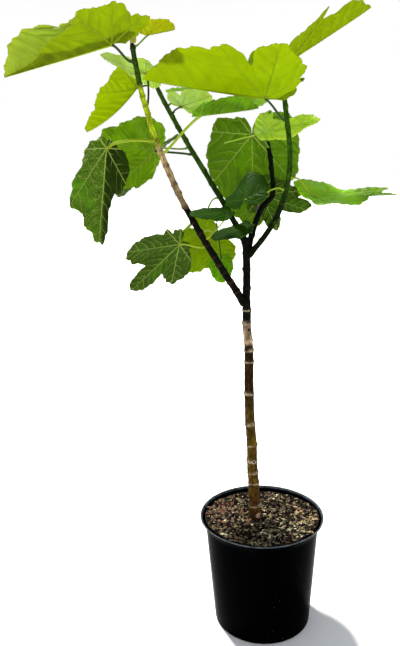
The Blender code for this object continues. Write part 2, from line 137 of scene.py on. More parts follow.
class Finish:
    """A material whose nodes are added one call at a time."""

    def __init__(self, name):
        self.material = bpy.data.materials.new(name)
        self.material.use_nodes = True
        self.tree = self.material.node_tree
        self.tree.nodes.clear()

    def node(self, kind, sockets=None, stops=(), **settings):
        """Add a node: its settings first, then its sockets' values or links. Gives its first output."""
        made = self.tree.nodes.new(kind)
        for name, value in settings.items():
            setattr(made, name, value)
        if stops:
            ramp = made.color_ramp
            while len(ramp.elements) < len(stops):
                ramp.elements.new(0.5)
            for element, (place, color) in zip(ramp.elements, stops):
                element.position = place
                element.color = (*color, 1.0)
        for name, value in (sockets or {}).items():
            self.feed(made.inputs[name], value)
        return Wire(self, made.outputs[0]) if made.outputs else None

    def feed(self, socket, value):
        """Link a wire to a socket or set the socket to a value. A colour gets its alpha."""
        if isinstance(value, Wire):
            self.tree.links.new(value.socket, socket)
        elif socket.type == "RGBA":
            socket.default_value = (*value, 1.0)
        else:
            socket.default_value = value

    def blend(self, share, first, second, way="MIX"):
        """Mix two colours by a share."""
        made = self.tree.nodes.new("ShaderNodeMix")
        made.data_type = "RGBA"
        made.blend_type = way
        for socket in made.inputs:
            if socket.type == "RGBA" and socket.name in ("A", "B"):
                self.feed(socket, first if socket.name == "A" else second)
            if socket.type == "VALUE" and socket.name == "Factor":
                self.feed(socket, share)
        return Wire(self, next(socket for socket in made.outputs if socket.type == "RGBA"))

    def tinted(self, color, factors):
        """A colour times a factor each for its red, green and blue."""
        return self.blend(1.0, color, factors, "MULTIPLY")

    def noise(self, scale, detail=3.0, rough=0.55, place=None):
        """Fractal noise from 0 to 1, on the object's own metres unless a place is given."""
        return self.node("ShaderNodeTexNoise", {"Vector": place or self.place(), "Scale": scale,
                                                "Detail": detail, "Roughness": rough})

    def cells(self, scale, feature="F1", place=None):
        """Voronoi cells, on the object's own metres unless a place is given."""
        return self.node("ShaderNodeTexVoronoi", {"Vector": place or self.place(), "Scale": scale},
                         feature=feature)

    def streaks(self, stretch, detail, rough):
        """Noise on a sleeve's own map, drawn out along the sleeve."""
        around = self.node("ShaderNodeUVMap", uv_map="along")
        drawn = self.node("ShaderNodeVectorMath", {0: around, 1: stretch}, operation="MULTIPLY")
        return self.noise(1.0, detail, rough, drawn)

    def place(self):
        """Object coordinates."""
        return self.node("ShaderNodeTexCoord").part("Object")

    def height(self):
        """Metres above the floor."""
        return self.node("ShaderNodeSeparateXYZ", {"Vector": self.place()}).part("Z")

    def attribute(self, name):
        """A number that the mesh carries at each of its points."""
        return self.node("ShaderNodeAttribute", attribute_name=name).part("Fac")

    def bump(self, height, depth):
        """A Bump node, with its depth in metres."""
        return self.node("ShaderNodeBump", {"Height": height, "Distance": depth, "Strength": 1.0})

    def principled(self, **sockets):
        """The shader: Python names with underscores stand for socket names with spaces."""
        names = {name.replace("_", " "): value for name, value in sockets.items()}
        return self.node("ShaderNodeBsdfPrincipled", names)

    def close(self, shader):
        """Send a shader to the output and hand back the material."""
        self.node("ShaderNodeOutputMaterial", {"Surface": shader})
        return self.material


print("sockets add, subtract, multiply and divide")

# %% [markdown]
# ## Floor, sky and sun
#
# The plant stands in the open under a high sun, a little behind it, so that most of its leaves glow with
# the light that comes through them. The floor is a plain pale sheet, and a bright even sky fills the
# shadows. A sky texture would do as well, but a ramp on the height of the view is easier to balance.

# %% Floor, sky and sun
FLOOR_SIZE = 60.0
FLOOR_SHADES = ((0.90, 0.90, 0.90), (0.94, 0.94, 0.94))
FLOOR_GRAIN = 2.0
FLOOR_ROUGHNESS = 0.9
SKY_LOW = (1.0, 1.0, 1.0)
SKY_HIGH = (0.50, 0.53, 0.57)
SKY_PLACES = (0.22, 0.60)
SUN_COLOR = (1.0, 0.97, 0.90)
SUN_TURN = -150
SUN_HEIGHT = 62
SUN_STRENGTH = 6.4
SUN_SOFTNESS = 6

floor_shape = bmesh.new()
bmesh.ops.create_grid(floor_shape, x_segments=1, y_segments=1, size=FLOOR_SIZE / 2)
floor_mesh = bpy.data.meshes.new("floor")
floor_shape.to_mesh(floor_mesh)
floor_shape.free()
floor = bpy.data.objects.new("floor", floor_mesh)
bpy.context.scene.collection.objects.link(floor)
paper = Finish("pale floor")
paper_color = paper.blend(paper.noise(FLOOR_GRAIN), *FLOOR_SHADES)
floor_mesh.materials.append(paper.close(paper.principled(Base_Color=paper_color, Roughness=FLOOR_ROUGHNESS)))

world = bpy.data.worlds.new("sky")
world.use_nodes = True
sky_nodes = world.node_tree.nodes
sky_place = sky_nodes.new("ShaderNodeTexCoord")
sky_parts = sky_nodes.new("ShaderNodeSeparateXYZ")
sky_ramp = sky_nodes.new("ShaderNodeValToRGB")
for stop, stop_place, stop_color in zip(sky_ramp.color_ramp.elements, SKY_PLACES, (SKY_LOW, SKY_HIGH)):
    stop.position = stop_place
    stop.color = (*stop_color, 1.0)
world.node_tree.links.new(sky_place.outputs["Generated"], sky_parts.inputs["Vector"])
world.node_tree.links.new(sky_parts.outputs["Z"], sky_ramp.inputs["Fac"])
world.node_tree.links.new(sky_ramp.outputs["Color"], sky_nodes["Background"].inputs["Color"])
bpy.context.scene.world = world
bpy.context.scene.view_settings.view_transform = "Standard"

sun_data = bpy.data.lights.new("sun", "SUN")
sun_data.energy = SUN_STRENGTH
sun_data.angle = math.radians(SUN_SOFTNESS)
sun_data.color = SUN_COLOR
sun = bpy.data.objects.new("sun", sun_data)
sun.rotation_euler = (math.radians(90 - SUN_HEIGHT), 0.0, math.radians(SUN_TURN))
bpy.context.scene.collection.objects.link(sun)
print("floor, sky and sun are in place")

# %% [markdown]
# ## The plant's plan, written again
#
# The solids grew from two short tables, one for limbs and one for leaves. The same two tables grow the fine
# surfaces here, so that every bough and leaf comes out on its solid. A few leaves hang a little differently
# from their solids, and the leaves' outlines have more lobes than the plain ones.

# %% Limbs: where each one starts, how it leaves and arrives, and how thick it is
Limb = namedtuple("Limb", "foot leaving arriving tip foot_radius tip_radius rings")
TRUNK_FOOT = Vector((-0.0114, -0.001, 0.2233))
TRUNK_TOP = Vector((-0.026, 0.018, 0.672))
LEADER_TOP = Vector((-0.026, 0.019, 0.790))
LIMBS = {
    "trunk": Limb(TRUNK_FOOT, (-0.010, 0.007, 0.160), (-0.004, 0.004, 0.155), TRUNK_TOP, 0.0094, 0.0066, 18),
    "leader": Limb(TRUNK_TOP - Vector((0, 0, 0.001)), (0.002, 0.0, 0.030), (-0.002, 0.0, 0.030),
                   LEADER_TOP, 0.0066, 0.0062, 5),
    "bough_left": Limb((-0.029, 0.017, 0.664), (-0.088, -0.036, 0.140), (-0.014, -0.061, 0.169),
                       (-0.212, -0.112, 1.112), 0.0068, 0.0038, 14),
    "bough_rear": Limb((-0.028, 0.020, 0.784), (-0.051, 0.035, 0.102), (-0.046, 0.035, 0.104),
                       (-0.191, 0.118, 1.082), 0.0058, 0.0044, 10),
    "bough_middle": Limb((-0.022, 0.019, 0.766), (0.042, 0.057, 0.158), (-0.020, 0.061, 0.177),
                         (0.023, 0.088, 0.967), 0.0060, 0.0046, 9),
    "bough_right": Limb((-0.022, 0.017, 0.756), (0.118, -0.033, 0.121), (0.005, 0.007, 0.092),
                        (0.038, -0.032, 1.070), 0.0062, 0.0048, 12),
}
print(len(LIMBS), "limbs")


def route(limb, steps):
    """Points along a limb, from its foot to its tip."""
    foot, tip = Vector(limb.foot), Vector(limb.tip)
    return interpolate_bezier(foot, foot + Vector(limb.leaving), tip - Vector(limb.arriving), tip, steps)


def limb_place(name, share):
    """The point on a limb's centre line at a share of its route, and the direction it runs in there."""
    points = route(LIMBS[name], LIMBS[name].rings)
    place = share * (len(points) - 1)
    ring = min(int(place), len(points) - 2)
    return points[ring].lerp(points[ring + 1], place - ring), (points[ring + 1] - points[ring]).normalized()


# %% [markdown]
# ## Leaf outlines
#
# A fig leaf may be a heart, a hand or anything between, and no two on a plant are alike. An outline could
# be a drawn curve. Here it is a row of marks. Each is an angle from the midrib in degrees and a reach, which
# is the edge's distance from the stalk as a share of the midrib. The edge eases from mark to mark. One row
# serves both halves of a leaf unless the left half has a row of its own.

# %% Blade outlines, and the main veins that run to their lobes
OUTLINES = {
    "blunt": ((0, 1.0), (16, 0.92), (25, 0.83), (36, 0.71), (44, 0.56), (60, 0.50), (85, 0.42), (117, 0.36),
              (150, 0.28), (174, 0.12)),
    "tucked": ((0, 1.0), (4, 0.76), (9, 0.65), (28, 0.55), (48, 0.52), (60, 0.50), (70, 0.55), (83, 0.50),
               (95, 0.45), (104, 0.455), (115, 0.43), (127, 0.375), (133, 0.365), (140, 0.40), (147, 0.425),
               (154, 0.43), (160, 0.39), (166, 0.27), (174, 0.12)),
    "curtain": ((0, 0.98), (5, 0.97), (10, 0.88), (17, 0.885), (27, 0.765), (43, 0.83), (54, 0.69),
                (69, 0.42), (86, 0.37), (102, 0.31), (120, 0.20), (174, 0.08)),
    "hem": ((0, 0.98), (5, 0.99), (11, 0.88), (16, 0.62), (28, 0.51), (46, 0.57), (75, 0.57), (92, 0.46),
            (107, 0.25), (130, 0.16), (174, 0.08)),
    "spoon": ((0, 1.0), (10, 0.95), (16, 0.90), (20, 0.64), (25, 0.54), (31, 0.69), (36, 0.47), (59, 0.405),
              (83, 0.285), (130, 0.25), (174, 0.08)),
    "palmate": ((0, 1.0), (20, 0.91), (30, 0.82), (37, 0.70), (50, 0.70), (58, 0.62), (67, 0.44), (80, 0.62),
                (97, 0.65), (118, 0.54), (140, 0.34), (174, 0.08)),
    "canopy": ((0, 1.0), (20, 0.91), (30, 0.82), (37, 0.70), (50, 0.68), (58, 0.58), (66, 0.42), (78, 0.50),
               (97, 0.55), (118, 0.50), (140, 0.34), (174, 0.08)),
    "canopy_left": ((0, 1.0), (12, 0.90), (20, 0.86), (30, 0.76), (37, 0.65), (50, 0.64), (58, 0.55),
                    (64, 0.40), (74, 0.60), (90, 0.63), (105, 0.54), (118, 0.48), (140, 0.31), (174, 0.08)),
    "heart": ((0, 0.97), (6, 0.96), (12, 0.88), (24, 0.73), (40, 0.71), (52, 0.72), (68, 0.63), (90, 0.58),
              (110, 0.53), (135, 0.38), (157, 0.25), (174, 0.08)),
    "tongue": ((0, 1.0), (15, 0.90), (24, 0.78), (40, 0.86), (55, 0.90), (70, 0.74), (88, 0.52), (108, 0.28),
               (130, 0.18), (157, 0.11), (174, 0.08)),
    "tongue_left": ((0, 1.0), (8, 1.03), (24, 0.78), (40, 0.68), (52, 0.65), (68, 0.58), (90, 0.50),
                    (105, 0.44), (115, 0.33), (135, 0.19), (157, 0.12), (174, 0.08)),
    "shield": ((0, 1.0), (15, 0.90), (27, 0.76), (40, 0.70), (52, 0.66), (68, 0.60), (90, 0.50), (110, 0.47),
               (130, 0.28), (150, 0.22), (174, 0.08)),
    "shield_left": ((0, 1.0), (15, 0.90), (24, 0.74), (40, 0.70), (52, 0.70), (68, 0.63), (90, 0.58),
                    (110, 0.53), (135, 0.34), (155, 0.19), (174, 0.08)),
    "petal_left": ((0, 1.0), (20, 0.91), (35, 0.75), (50, 0.66), (60, 0.60), (70, 0.52), (76, 0.36),
                   (84, 0.22), (95, 0.16), (120, 0.12), (150, 0.10), (174, 0.08)),
    "flag": ((0, 1.0), (10, 0.93), (20, 0.82), (30, 0.76), (40, 0.84), (50, 1.02), (56, 1.10), (62, 1.02),
             (70, 0.74), (80, 0.50), (95, 0.36), (110, 0.28), (150, 0.20), (174, 0.08)),
    "oval": ((0, 1.0), (10, 0.97), (25, 0.84), (45, 0.68), (75, 0.52), (110, 0.42), (150, 0.28),
             (174, 0.08)),
    "lance": ((0, 1.0), (10, 0.95), (25, 0.74), (45, 0.46), (75, 0.30), (110, 0.22), (150, 0.14),
              (174, 0.08)),
    "lance_left": ((0, 1.0), (10, 0.97), (25, 0.84), (45, 0.66), (75, 0.48), (110, 0.30), (150, 0.18),
                   (174, 0.08)),
    "fingered": ((0, 0.90), (7, 0.98), (12, 0.90), (17, 0.70), (22, 0.78), (27, 0.90), (33, 0.84),
                 (38, 0.60), (50, 0.54), (70, 0.45), (92, 0.42), (106, 0.40), (130, 0.30), (174, 0.08)),
    "fingered_left": ((0, 0.90), (8, 0.82), (14, 0.66), (22, 0.50), (30, 0.50), (38, 0.66), (50, 0.80),
                      (60, 0.70), (76, 0.36), (92, 0.42), (106, 0.46), (130, 0.32), (174, 0.08)),
    "hand": ((0, 1.0), (8, 0.93), (14, 0.78), (19, 0.50), (27, 0.55), (35, 0.70), (43, 0.74), (52, 0.69),
             (62, 0.66), (72, 0.58), (80, 0.47), (88, 0.34), (100, 0.24), (130, 0.16), (174, 0.08)),
    "hand_left": ((0, 1.0), (6, 0.94), (11, 0.76), (14, 0.60), (20, 0.62), (29, 0.76), (40, 0.83),
                  (50, 0.82), (58, 0.78), (69, 0.70), (78, 0.54), (85, 0.41), (93, 0.44), (98, 0.43),
                  (102, 0.30), (110, 0.34), (130, 0.27), (150, 0.20), (174, 0.08)),
    "fork": ((0, 1.0), (20, 0.85), (35, 0.72), (48, 0.74), (58, 0.78), (66, 0.72), (74, 0.50), (85, 0.54),
             (95, 0.50), (110, 0.30), (130, 0.18), (150, 0.12), (174, 0.08)),
    "fork_left": ((0, 1.0), (3, 0.92), (6, 0.80), (9, 0.84), (13, 0.92), (20, 0.78), (30, 0.58), (45, 0.48),
                  (60, 0.50), (75, 0.58), (92, 0.60), (110, 0.60), (130, 0.30), (150, 0.18), (174, 0.08)),
    "wing": ((0, 1.0), (10, 0.96), (20, 0.90), (35, 0.86), (50, 0.78), (62, 0.46), (80, 0.36), (100, 0.26),
             (130, 0.16), (156, 0.14), (162, 0.45), (167, 0.72), (170, 0.70), (174, 0.08)),
    "wing_left": ((0, 1.0), (10, 0.93), (20, 0.78), (35, 0.54), (50, 0.42), (62, 0.40), (76, 0.58),
                  (92, 0.60), (105, 0.45), (120, 0.30), (150, 0.20), (174, 0.08)),
}
OUTLINES["petal"] = OUTLINES["palmate"]
OUTLINES["pennant"] = OUTLINES["oval"]
LEFT_HALVES = {"petal": "petal_left", "pennant": "flag", "blunt": "tucked", "curtain": "hem",
               "canopy": "canopy_left", "tongue": "tongue_left", "shield": "shield_left",
               "lance": "lance_left", "fingered": "fingered_left", "hand": "hand_left",
               "fork": "fork_left", "wing": "wing_left"}
VEINS = {
    "blunt": (0, 52, 100, 145), "tucked": (0, 66, 104, 146),
    "palmate": (0, 46, 97, 140), "canopy": (0, 46, 97, 140), "canopy_left": (0, 46, 90, 135),
    "heart": (0, 46, 95, 140), "tongue": (0, 52, 100), "tongue_left": (0, 46, 95),
    "shield": (0, 44, 95, 140), "shield_left": (0, 44, 95, 140),
    "curtain": (0, 43, 90, 130), "hem": (0, 60, 100, 140),
    "oval": (0, 58, 120), "lance": (0, 70), "lance_left": (0, 70),
    "fingered": (0, 27, 80, 130), "fingered_left": (0, 50, 106, 145),
    "hand": (0, 42, 80, 130), "hand_left": (0, 48, 95, 130),
    "fork": (0, 58, 95), "fork_left": (0, 13, 60, 110),
    "wing": (0, 45, 100, 167), "wing_left": (0, 40, 88),
    "spoon": (0, 31, 100), "petal": (0, 46, 97, 140), "petal_left": (0, 46), "pennant": (0, 58, 120),
    "flag": (0, 54, 120),
}
print(len(OUTLINES), "outlines")


def smooth_step(share):
    """Ease from 0 to 1."""
    return 0.5 - 0.5 * math.cos(math.pi * share)


def half_name(outline, angle):
    """The outline that holds on one half of the blade: the left half may have its own."""
    return LEFT_HALVES.get(outline, outline) if angle > 0 else outline


def reach(angle, outline):
    """Distance from the stalk to the blade's edge, as a share of the midrib, in one direction."""
    turn = abs(math.degrees(angle))
    marks = OUTLINES[half_name(outline, angle)]
    for (start, near), (end, far) in zip(marks, marks[1:]):
        if turn <= end:
            return near + (far - near) * smooth_step((turn - start) / (end - start))
    return marks[-1][1]


# %% Leaves: the limb each one grows on, where its blade starts, how it hangs, and its colours
LEAF_SEED = 7
Leaf = namedtuple("Leaf", "limb at base heading pitch roll length breadth fold arch droop outline look")
LEAVES = {
    "top_left": Leaf("bough_left", 0.95, (-0.242, -0.125, 1.107), 183, -16, -19,
                     0.174, 0.80, 61, 0, 0, "blunt", "crest"),
    "left_pendent": Leaf("bough_rear", 0.98, (-0.224, 0.085, 1.069), 191, -52, 0,
                         0.131, 0.97, 42, 0, -22, "heart", "sunlit"),
    "left_front": Leaf("bough_left", 0.70, (-0.258, -0.135, 0.951), 250, -74, -39,
                       0.154, 0.66, -36, 0, 0, "curtain", "dark"),
    "left_behind": Leaf("bough_rear", 0.55, (-0.191, 0.030, 0.952), 180, 12, 80,
                        0.100, 1.05, 0, 10, 0, "tongue", "fresh"),
    "serrate": Leaf("bough_left", 0.65, (-0.107, -0.090, 1.001), -12, 4, 0,
                    0.096, 0.9, 32, 0, 0, "lance", "crisp"),
    "pale": Leaf("bough_rear", 0.80, (-0.140, 0.080, 1.034), -37, 10, -45,
                 0.070, 0.8, 0, 0, 0, "petal", "pale"),
    "top_centre": Leaf("bough_right", 0.74, (0.001, -0.078, 1.027), 184, 8, -9,
                       0.202, 0.9, 49, 0, 0, "canopy", "sunlit"),
    "pale_left": Leaf("bough_left", 0.80, (-0.197, -0.044, 1.076), 163, 22, 30,
                      0.088, 0.6, 0, 0, 0, "palmate", "pale"),
    "young": Leaf("bough_left", 0.99, (-0.186, -0.110, 1.123), 20, 12, 0,
                  0.046, 1.15, 40, 0, 0, "oval", "young"),
    "top_right": Leaf("bough_right", 0.96, (0.062, 0.055, 1.107), -9, 29, -5,
                      0.161, 0.82, 30, 0, 0, "spoon", "sunlit_shaded"),
    "veined": Leaf("bough_middle", 0.98, (-0.002, 0.150, 0.983), -90, -86, 0,
                   0.184, 0.90, 0, 20, 0, "shield", "veined"),
    "low_right": Leaf("bough_middle", 0.22, (0.012, 0.100, 0.866), -8, -20, -80,
                      0.104, 0.9, 0, 0, 0, "fingered", "dark"),
    "middle_tip": Leaf("bough_middle", 0.97, (0.012, 0.062, 0.981), -18, 9, 40,
                       0.107, 0.75, 10, 0, 0, "wing", "pale_sheen"),
    "dark_inner": Leaf("bough_right", 0.35, (-0.030, -0.025, 0.862), 80, 47, -30,
                       0.066, 1.25, -20, 0, 0, "pennant", "plain"),
    "narrow_left": Leaf("bough_left", 0.30, (-0.063, -0.050, 0.843), 192, -4, -28,
                        0.068, 0.8, 0, 0, 0, "lance", "plain"),
    "narrow_low": Leaf("bough_middle", 0.08, (-0.025, 0.000, 0.814), 196, -19, -22,
                       0.072, 0.8, 0, 0, 0, "lance", "plain"),
    "round": Leaf("bough_rear", 0.2, (-0.072, 0.040, 0.747), -90, -80, 0,
                  0.045, 1.0, 0, 20, 0, "oval", "crisp"),
    "lobed": Leaf("bough_left", 0.28, (-0.149, -0.040, 0.786), 180, -42, 42,
                  0.122, 1.1, 0, 10, 0, "hand", "dark"),
    "left_low": Leaf("bough_left", 0.31, (-0.086, 0.080, 0.785), 200, -33, -65,
                     0.090, 1.0, 0, 0, 0, "palmate", "lit"),
    "right": Leaf("bough_right", 0.42, (0.097, -0.030, 0.862), 0, 0, 18,
                  0.146, 0.65, 10, 0, 0, "fork", "glossy"),
    "back_upper": Leaf("bough_rear", 0.86, (-0.100, 0.190, 1.075), 45, 12, 0,
                       0.140, 1.0, 10, 0, 20, "palmate", "fresh"),
    "back_left": Leaf("bough_rear", 0.60, (-0.200, 0.140, 0.960), 150, -35, 0,
                      0.130, 1.0, 10, 0, 25, "palmate", "dark"),
    "back_right": Leaf("bough_right", 0.88, (0.028, 0.035, 1.060), 105, 0, 0,
                       0.140, 0.9, 10, 0, 20, "oval", "fresh"),
    "back_low": Leaf("bough_rear", 0.28, (-0.120, 0.150, 0.770), 165, -40, 0,
                     0.105, 0.9, 10, 0, 20, "palmate", "dark"),
}
dealer = random.Random(LEAF_SEED)
PHASES = {name: dealer.uniform(0.0, math.tau) for name in LEAVES}
print(len(LEAVES), "leaves")

# %% Where a point of a blade lies
VEIN_ANGLE = 54
PLEAT = 0.035
WAVE = 0.03
WAVES = 3


def arc(length, start, turning):
    """End of an arc that sets out at an angle and turns evenly, as (forward, up)."""
    if turning == 0.0:
        return length * math.cos(start), length * math.sin(start)
    end = start + turning * length
    return (math.sin(end) - math.sin(start)) / turning, (math.cos(start) - math.cos(end)) / turning


def leaf_axes(leaf):
    """Midrib, left-hand side and upper face of a leaf as directions."""
    heading, pitch, roll = (math.radians(value) for value in (leaf.heading, leaf.pitch, leaf.roll))
    ahead = Vector((math.cos(heading), math.sin(heading), 0.0))
    level = Vector((-math.sin(heading), math.cos(heading), 0.0))
    forward = ahead * math.cos(pitch) + Vector((0.0, 0.0, math.sin(pitch)))
    up = forward.cross(level)
    side = level * math.cos(roll) + up * math.sin(roll)
    return forward, side, forward.cross(side)


def blade_point(leaf, phase, angle, distance, share, lift=0.0):
    """Place a blade's point from its direction, its distance from the stalk and its share of the way out."""
    forward, side, up = leaf_axes(leaf)
    along = distance * math.cos(angle)
    across = distance * math.sin(angle) * leaf.breadth
    pleat = math.sin(math.pi * min(1.0, abs(math.degrees(angle)) / VEIN_ANGLE)) ** 2
    lift += PLEAT * distance * pleat + WAVE * leaf.length * share ** 2 * math.sin(WAVES * angle + phase)
    out, rise = arc(abs(across), math.radians(leaf.fold), -math.radians(leaf.arch) / leaf.length)
    turning = -math.radians(leaf.droop) / leaf.length
    ahead, sag = arc(along, 0.0, turning)
    tilt = turning * along
    normal = up * math.cos(tilt) - forward * math.sin(tilt)
    place = Vector(leaf.base) + forward * ahead + up * sag
    return place + side * math.copysign(out, across) + normal * (rise + lift)


print("blade base of the top leaf", tuple(LEAVES["top_left"].base))

# %% [markdown]
# ## Pieces from bmesh
#
# Almost everything on a plant is either a sheet or a sleeve. Both start here as a grid: a sheet is a grid
# laid out in polar steps, and a sleeve is a grid rolled round a line. One helper turns a finished bmesh
# into an object that rides on the plant and stands for its plain solid.

# %% A finished piece
WELD = 0.00001
SLEEVE_WELD = 0.000001
SHARP_ANGLE = 50


def make_piece(name, shape, finishes, nodes=()):
    """Turn a bmesh into a named piece of the plant."""
    mesh = bpy.data.meshes.new(name)
    shape.to_mesh(mesh)
    shape.free()
    for finish in finishes:
        mesh.materials.append(finish)
    mesh.shade_smooth()
    mesh.set_sharp_from_angle(angle=math.radians(SHARP_ANGLE))
    item = bpy.data.objects.new(name, mesh)
    bpy.context.scene.collection.objects.link(item)
    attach(item, "root")
    if nodes:
        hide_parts(*nodes)
    print(name, len(mesh.polygons), "faces")
    return item


# %% A sleeve: a grid rolled round a line
def frames(points):
    """At each point, two directions across the line, turned as little as possible from point to point."""
    result = []
    across = None
    for index in range(len(points)):
        before = points[max(index - 1, 0)]
        after = points[min(index + 1, len(points) - 1)]
        along = (after - before).normalized()
        if across is None:
            across = along.orthogonal().normalized()
        across = (across - along * across.dot(along)).normalized()
        result.append((across, along.cross(across)))
    return result


def run_lengths(points):
    """Distance walked along a line at each of its points."""
    walked = [0.0]
    for start, end in zip(points, points[1:]):
        walked.append(walked[-1] + (end - start).length)
    return walked


def add_sleeve(shape, points, radius, sides, material=0, mark=None):
    """Roll a grid round points into a closed tube; radius(angle, row) gives its size, mark its scars."""
    rows = len(points) - 1
    tubes = bmesh.new()
    bmesh.ops.create_grid(tubes, x_segments=sides, y_segments=rows, size=0.5)
    uv = tubes.loops.layers.uv.new("along")
    scars = tubes.verts.layers.float.new("scar")
    lengths = run_lengths(points)
    for face in tubes.faces:
        face.material_index = material
        for loop in face.loops:
            row = round((loop.vert.co.y + 0.5) * rows)
            loop[uv].uv = (loop.vert.co.x + 0.5, lengths[row])
    axes = frames(points)
    for vertex in tubes.verts:
        angle = math.tau * (vertex.co.x + 0.5)
        row = round((vertex.co.y + 0.5) * rows)
        across, up = axes[row]
        vertex.co = points[row] + (across * math.cos(angle) + up * math.sin(angle)) * radius(angle, row)
        vertex[scars] = mark(angle, row) if mark else 0.0
    bmesh.ops.remove_doubles(tubes, verts=tubes.verts, dist=SLEEVE_WELD)
    bmesh.ops.holes_fill(tubes, edges=[edge for edge in tubes.edges if edge.is_boundary])
    for face in tubes.faces:
        if len(face.verts) > 4:
            face.material_index = material
    bmesh.ops.recalc_face_normals(tubes, faces=tubes.faces)
    part = bpy.data.meshes.new("sleeve")
    tubes.to_mesh(part)
    tubes.free()
    shape.from_mesh(part)
    bpy.data.meshes.remove(part)


print("sheets and sleeves are grids")

# %% [markdown]
# ## The pot
#
# A nursery pot is moulded in thin black plastic: a tapered wall, a flared lip and a flat floor. It could be
# a cylinder that is inset, tapered and hollowed. Spinning one profile is surer, because the wall keeps its
# thickness all the way round the lip. The drain holes are under the pot, where nobody sees them, and are
# left to the plain solid.

# %% Pot: spin the profile
POT_HEIGHT = 0.230
POT_RIM_RADIUS = 0.1247
POT_BASE_RADIUS = 0.0978
POT_WALL = 0.0022
POT_FLOOR = 0.0030
POT_LIP = 0.0022
POT_FLARE = 0.0095
POT_FLARE_RISE = 0.0180
POT_FLARE_STEPS = 10
POT_FOOT_BEVEL = 0.0040
POT_FOOT_STEPS = 4
POT_GROOVE = (0.86, 0.87, 0.91, 0.92)
POT_GROOVE_DEPTH = 0.0012
POT_SIDES = 120
LIP_STEPS = 8
LIP_OUT = 0.6 * POT_LIP
LIP_UP = 0.5 * POT_LIP


def pot_radius(height):
    """Outer radius of the pot's wall, with its flare under the lip."""
    straight = POT_BASE_RADIUS + (POT_RIM_RADIUS - POT_FLARE - POT_BASE_RADIUS) * height / POT_HEIGHT
    share = max(0.0, 1.0 + (height + POT_LIP - POT_HEIGHT) / POT_FLARE_RISE)
    return straight + POT_FLARE * share ** 2


def flare_heights():
    """Heights at which the pot's flare has a ring of points."""
    under = POT_HEIGHT - POT_LIP
    return [under - POT_FLARE_RISE * (1.0 - step / POT_FLARE_STEPS) for step in range(POT_FLARE_STEPS + 1)]


def pot_profile():
    """The wall from the floor's centre out, up, over the lip and down inside."""
    points = [(0.0, 0.0)]
    for share, rise in zip(POT_GROOVE, (0.0, POT_GROOVE_DEPTH, POT_GROOVE_DEPTH, 0.0)):
        points.append((POT_BASE_RADIUS * share, rise))
    for step in range(POT_FOOT_STEPS + 1):
        turn = math.pi / 2 * step / POT_FOOT_STEPS
        points.append((pot_radius(POT_FOOT_BEVEL) - POT_FOOT_BEVEL * (1 - math.sin(turn)),
                       POT_FOOT_BEVEL * (1 - math.cos(turn))))
    points += [(pot_radius(height), height) for height in flare_heights()]
    for step in range(LIP_STEPS + 1):
        turn = -math.pi / 2 + math.pi * step / LIP_STEPS
        points.append((POT_RIM_RADIUS - LIP_OUT + LIP_OUT * math.cos(turn),
                       POT_HEIGHT - LIP_UP + LIP_UP * math.sin(turn)))
    points += [(pot_radius(height) - POT_WALL, height) for height in reversed(flare_heights())]
    points += [(pot_radius(POT_FLOOR) - POT_WALL, POT_FLOOR), (0.0, POT_FLOOR)]
    return points


def spin(profile, sides):
    """Turn a profile of (radius, height) pairs about the Z axis into a closed body."""
    shape = bmesh.new()
    points = [shape.verts.new((radius, 0.0, height)) for radius, height in profile]
    edges = [shape.edges.new(pair) for pair in zip(points, points[1:])]
    bmesh.ops.spin(shape, geom=points + edges, cent=(0, 0, 0), axis=(0, 0, 1),
                   angle=math.tau, steps=sides, use_merge=True)
    bmesh.ops.remove_doubles(shape, verts=shape.verts, dist=WELD)
    bmesh.ops.recalc_face_normals(shape, faces=shape.faces)
    return shape


# %% [markdown]
# ## The pot's plastic
#
# Black plastic that has stood outdoors has dull patches where dust clings, dry specks of compost and fine
# moulding lines. Its lip is painted pale bluish grey as a highlight, broken up by scuffs. Each of these is
# one mask that mixes a colour in. That is simpler than painting them, and any of them can be turned down
# alone.

# %% Pot: black plastic with dust, specks and a painted highlight on its scuffed lip
PLASTIC = ((0.0003, 0.0004, 0.0007), (0.0010, 0.0012, 0.0016))
# The lip's pale grey is a painted highlight, broken up by scuffs.
LIP_HIGHLIGHT_AND_SCUFF = (0.110, 0.135, 0.150)
SPECK_COLOR = (0.16, 0.15, 0.13)
LIP_HIGHLIGHT_BAND = (POT_HEIGHT - 2.2 * POT_LIP, POT_HEIGHT - 0.4 * POT_LIP)
MOULDING_LINES = 900.0
PLASTIC_RELIEF = 0.0003


def plastic_finish():
    """Black moulded plastic, duller where dust clings, with a painted highlight along the lip broken by
    scuffs.
    """
    black = Finish("black nursery plastic")
    height = black.height()
    lip = height.step(*LIP_HIGHLIGHT_BAND)
    dust = black.noise(9.0, 4.0).step(0.50, 0.78)
    specks = black.cells(150.0).step(0.14, 0.08) * black.noise(30.0, 1.0).step(0.62, 0.68)
    scuffs = black.noise(70.0, 5.0).step(0.35, 0.62)
    color = black.blend(dust * 0.5, *PLASTIC)
    # Painted highlight along the lip, broken up by scuffs.
    color = black.blend(lip * (0.40 + 0.60 * scuffs), color, LIP_HIGHLIGHT_AND_SCUFF)
    color = black.blend(specks * 0.7, color, SPECK_COLOR)
    lines = height.math("SINE", height * MOULDING_LINES)
    grain = black.noise(420.0, 2.0)
    return black.close(black.principled(
        Base_Color=color, Roughness=0.24 + dust * 0.10 + specks * 0.3, Specular_IOR_Level=0.002,
        Normal=black.bump(grain * 0.6 + lines * 0.08 + specks * 1.5, PLASTIC_RELIEF)))


make_piece("nursery_pot", spin(pot_profile(), POT_SIDES), [plastic_finish()], ["pot"])

# %% [markdown]
# ## The compost
#
# Potting compost is crumbs of peat and bark with a few pale fibres and flecks. It fills the pot, is heaped a
# little round the trunk and creeps up the wall to the lip at the front and sides. A smooth brown disc would
# look like chocolate, so the top is displaced in three sizes of lump. A Displace modifier would do it too,
# but a function of the place can be asked again later, to lay loose crumbs on the same surface.

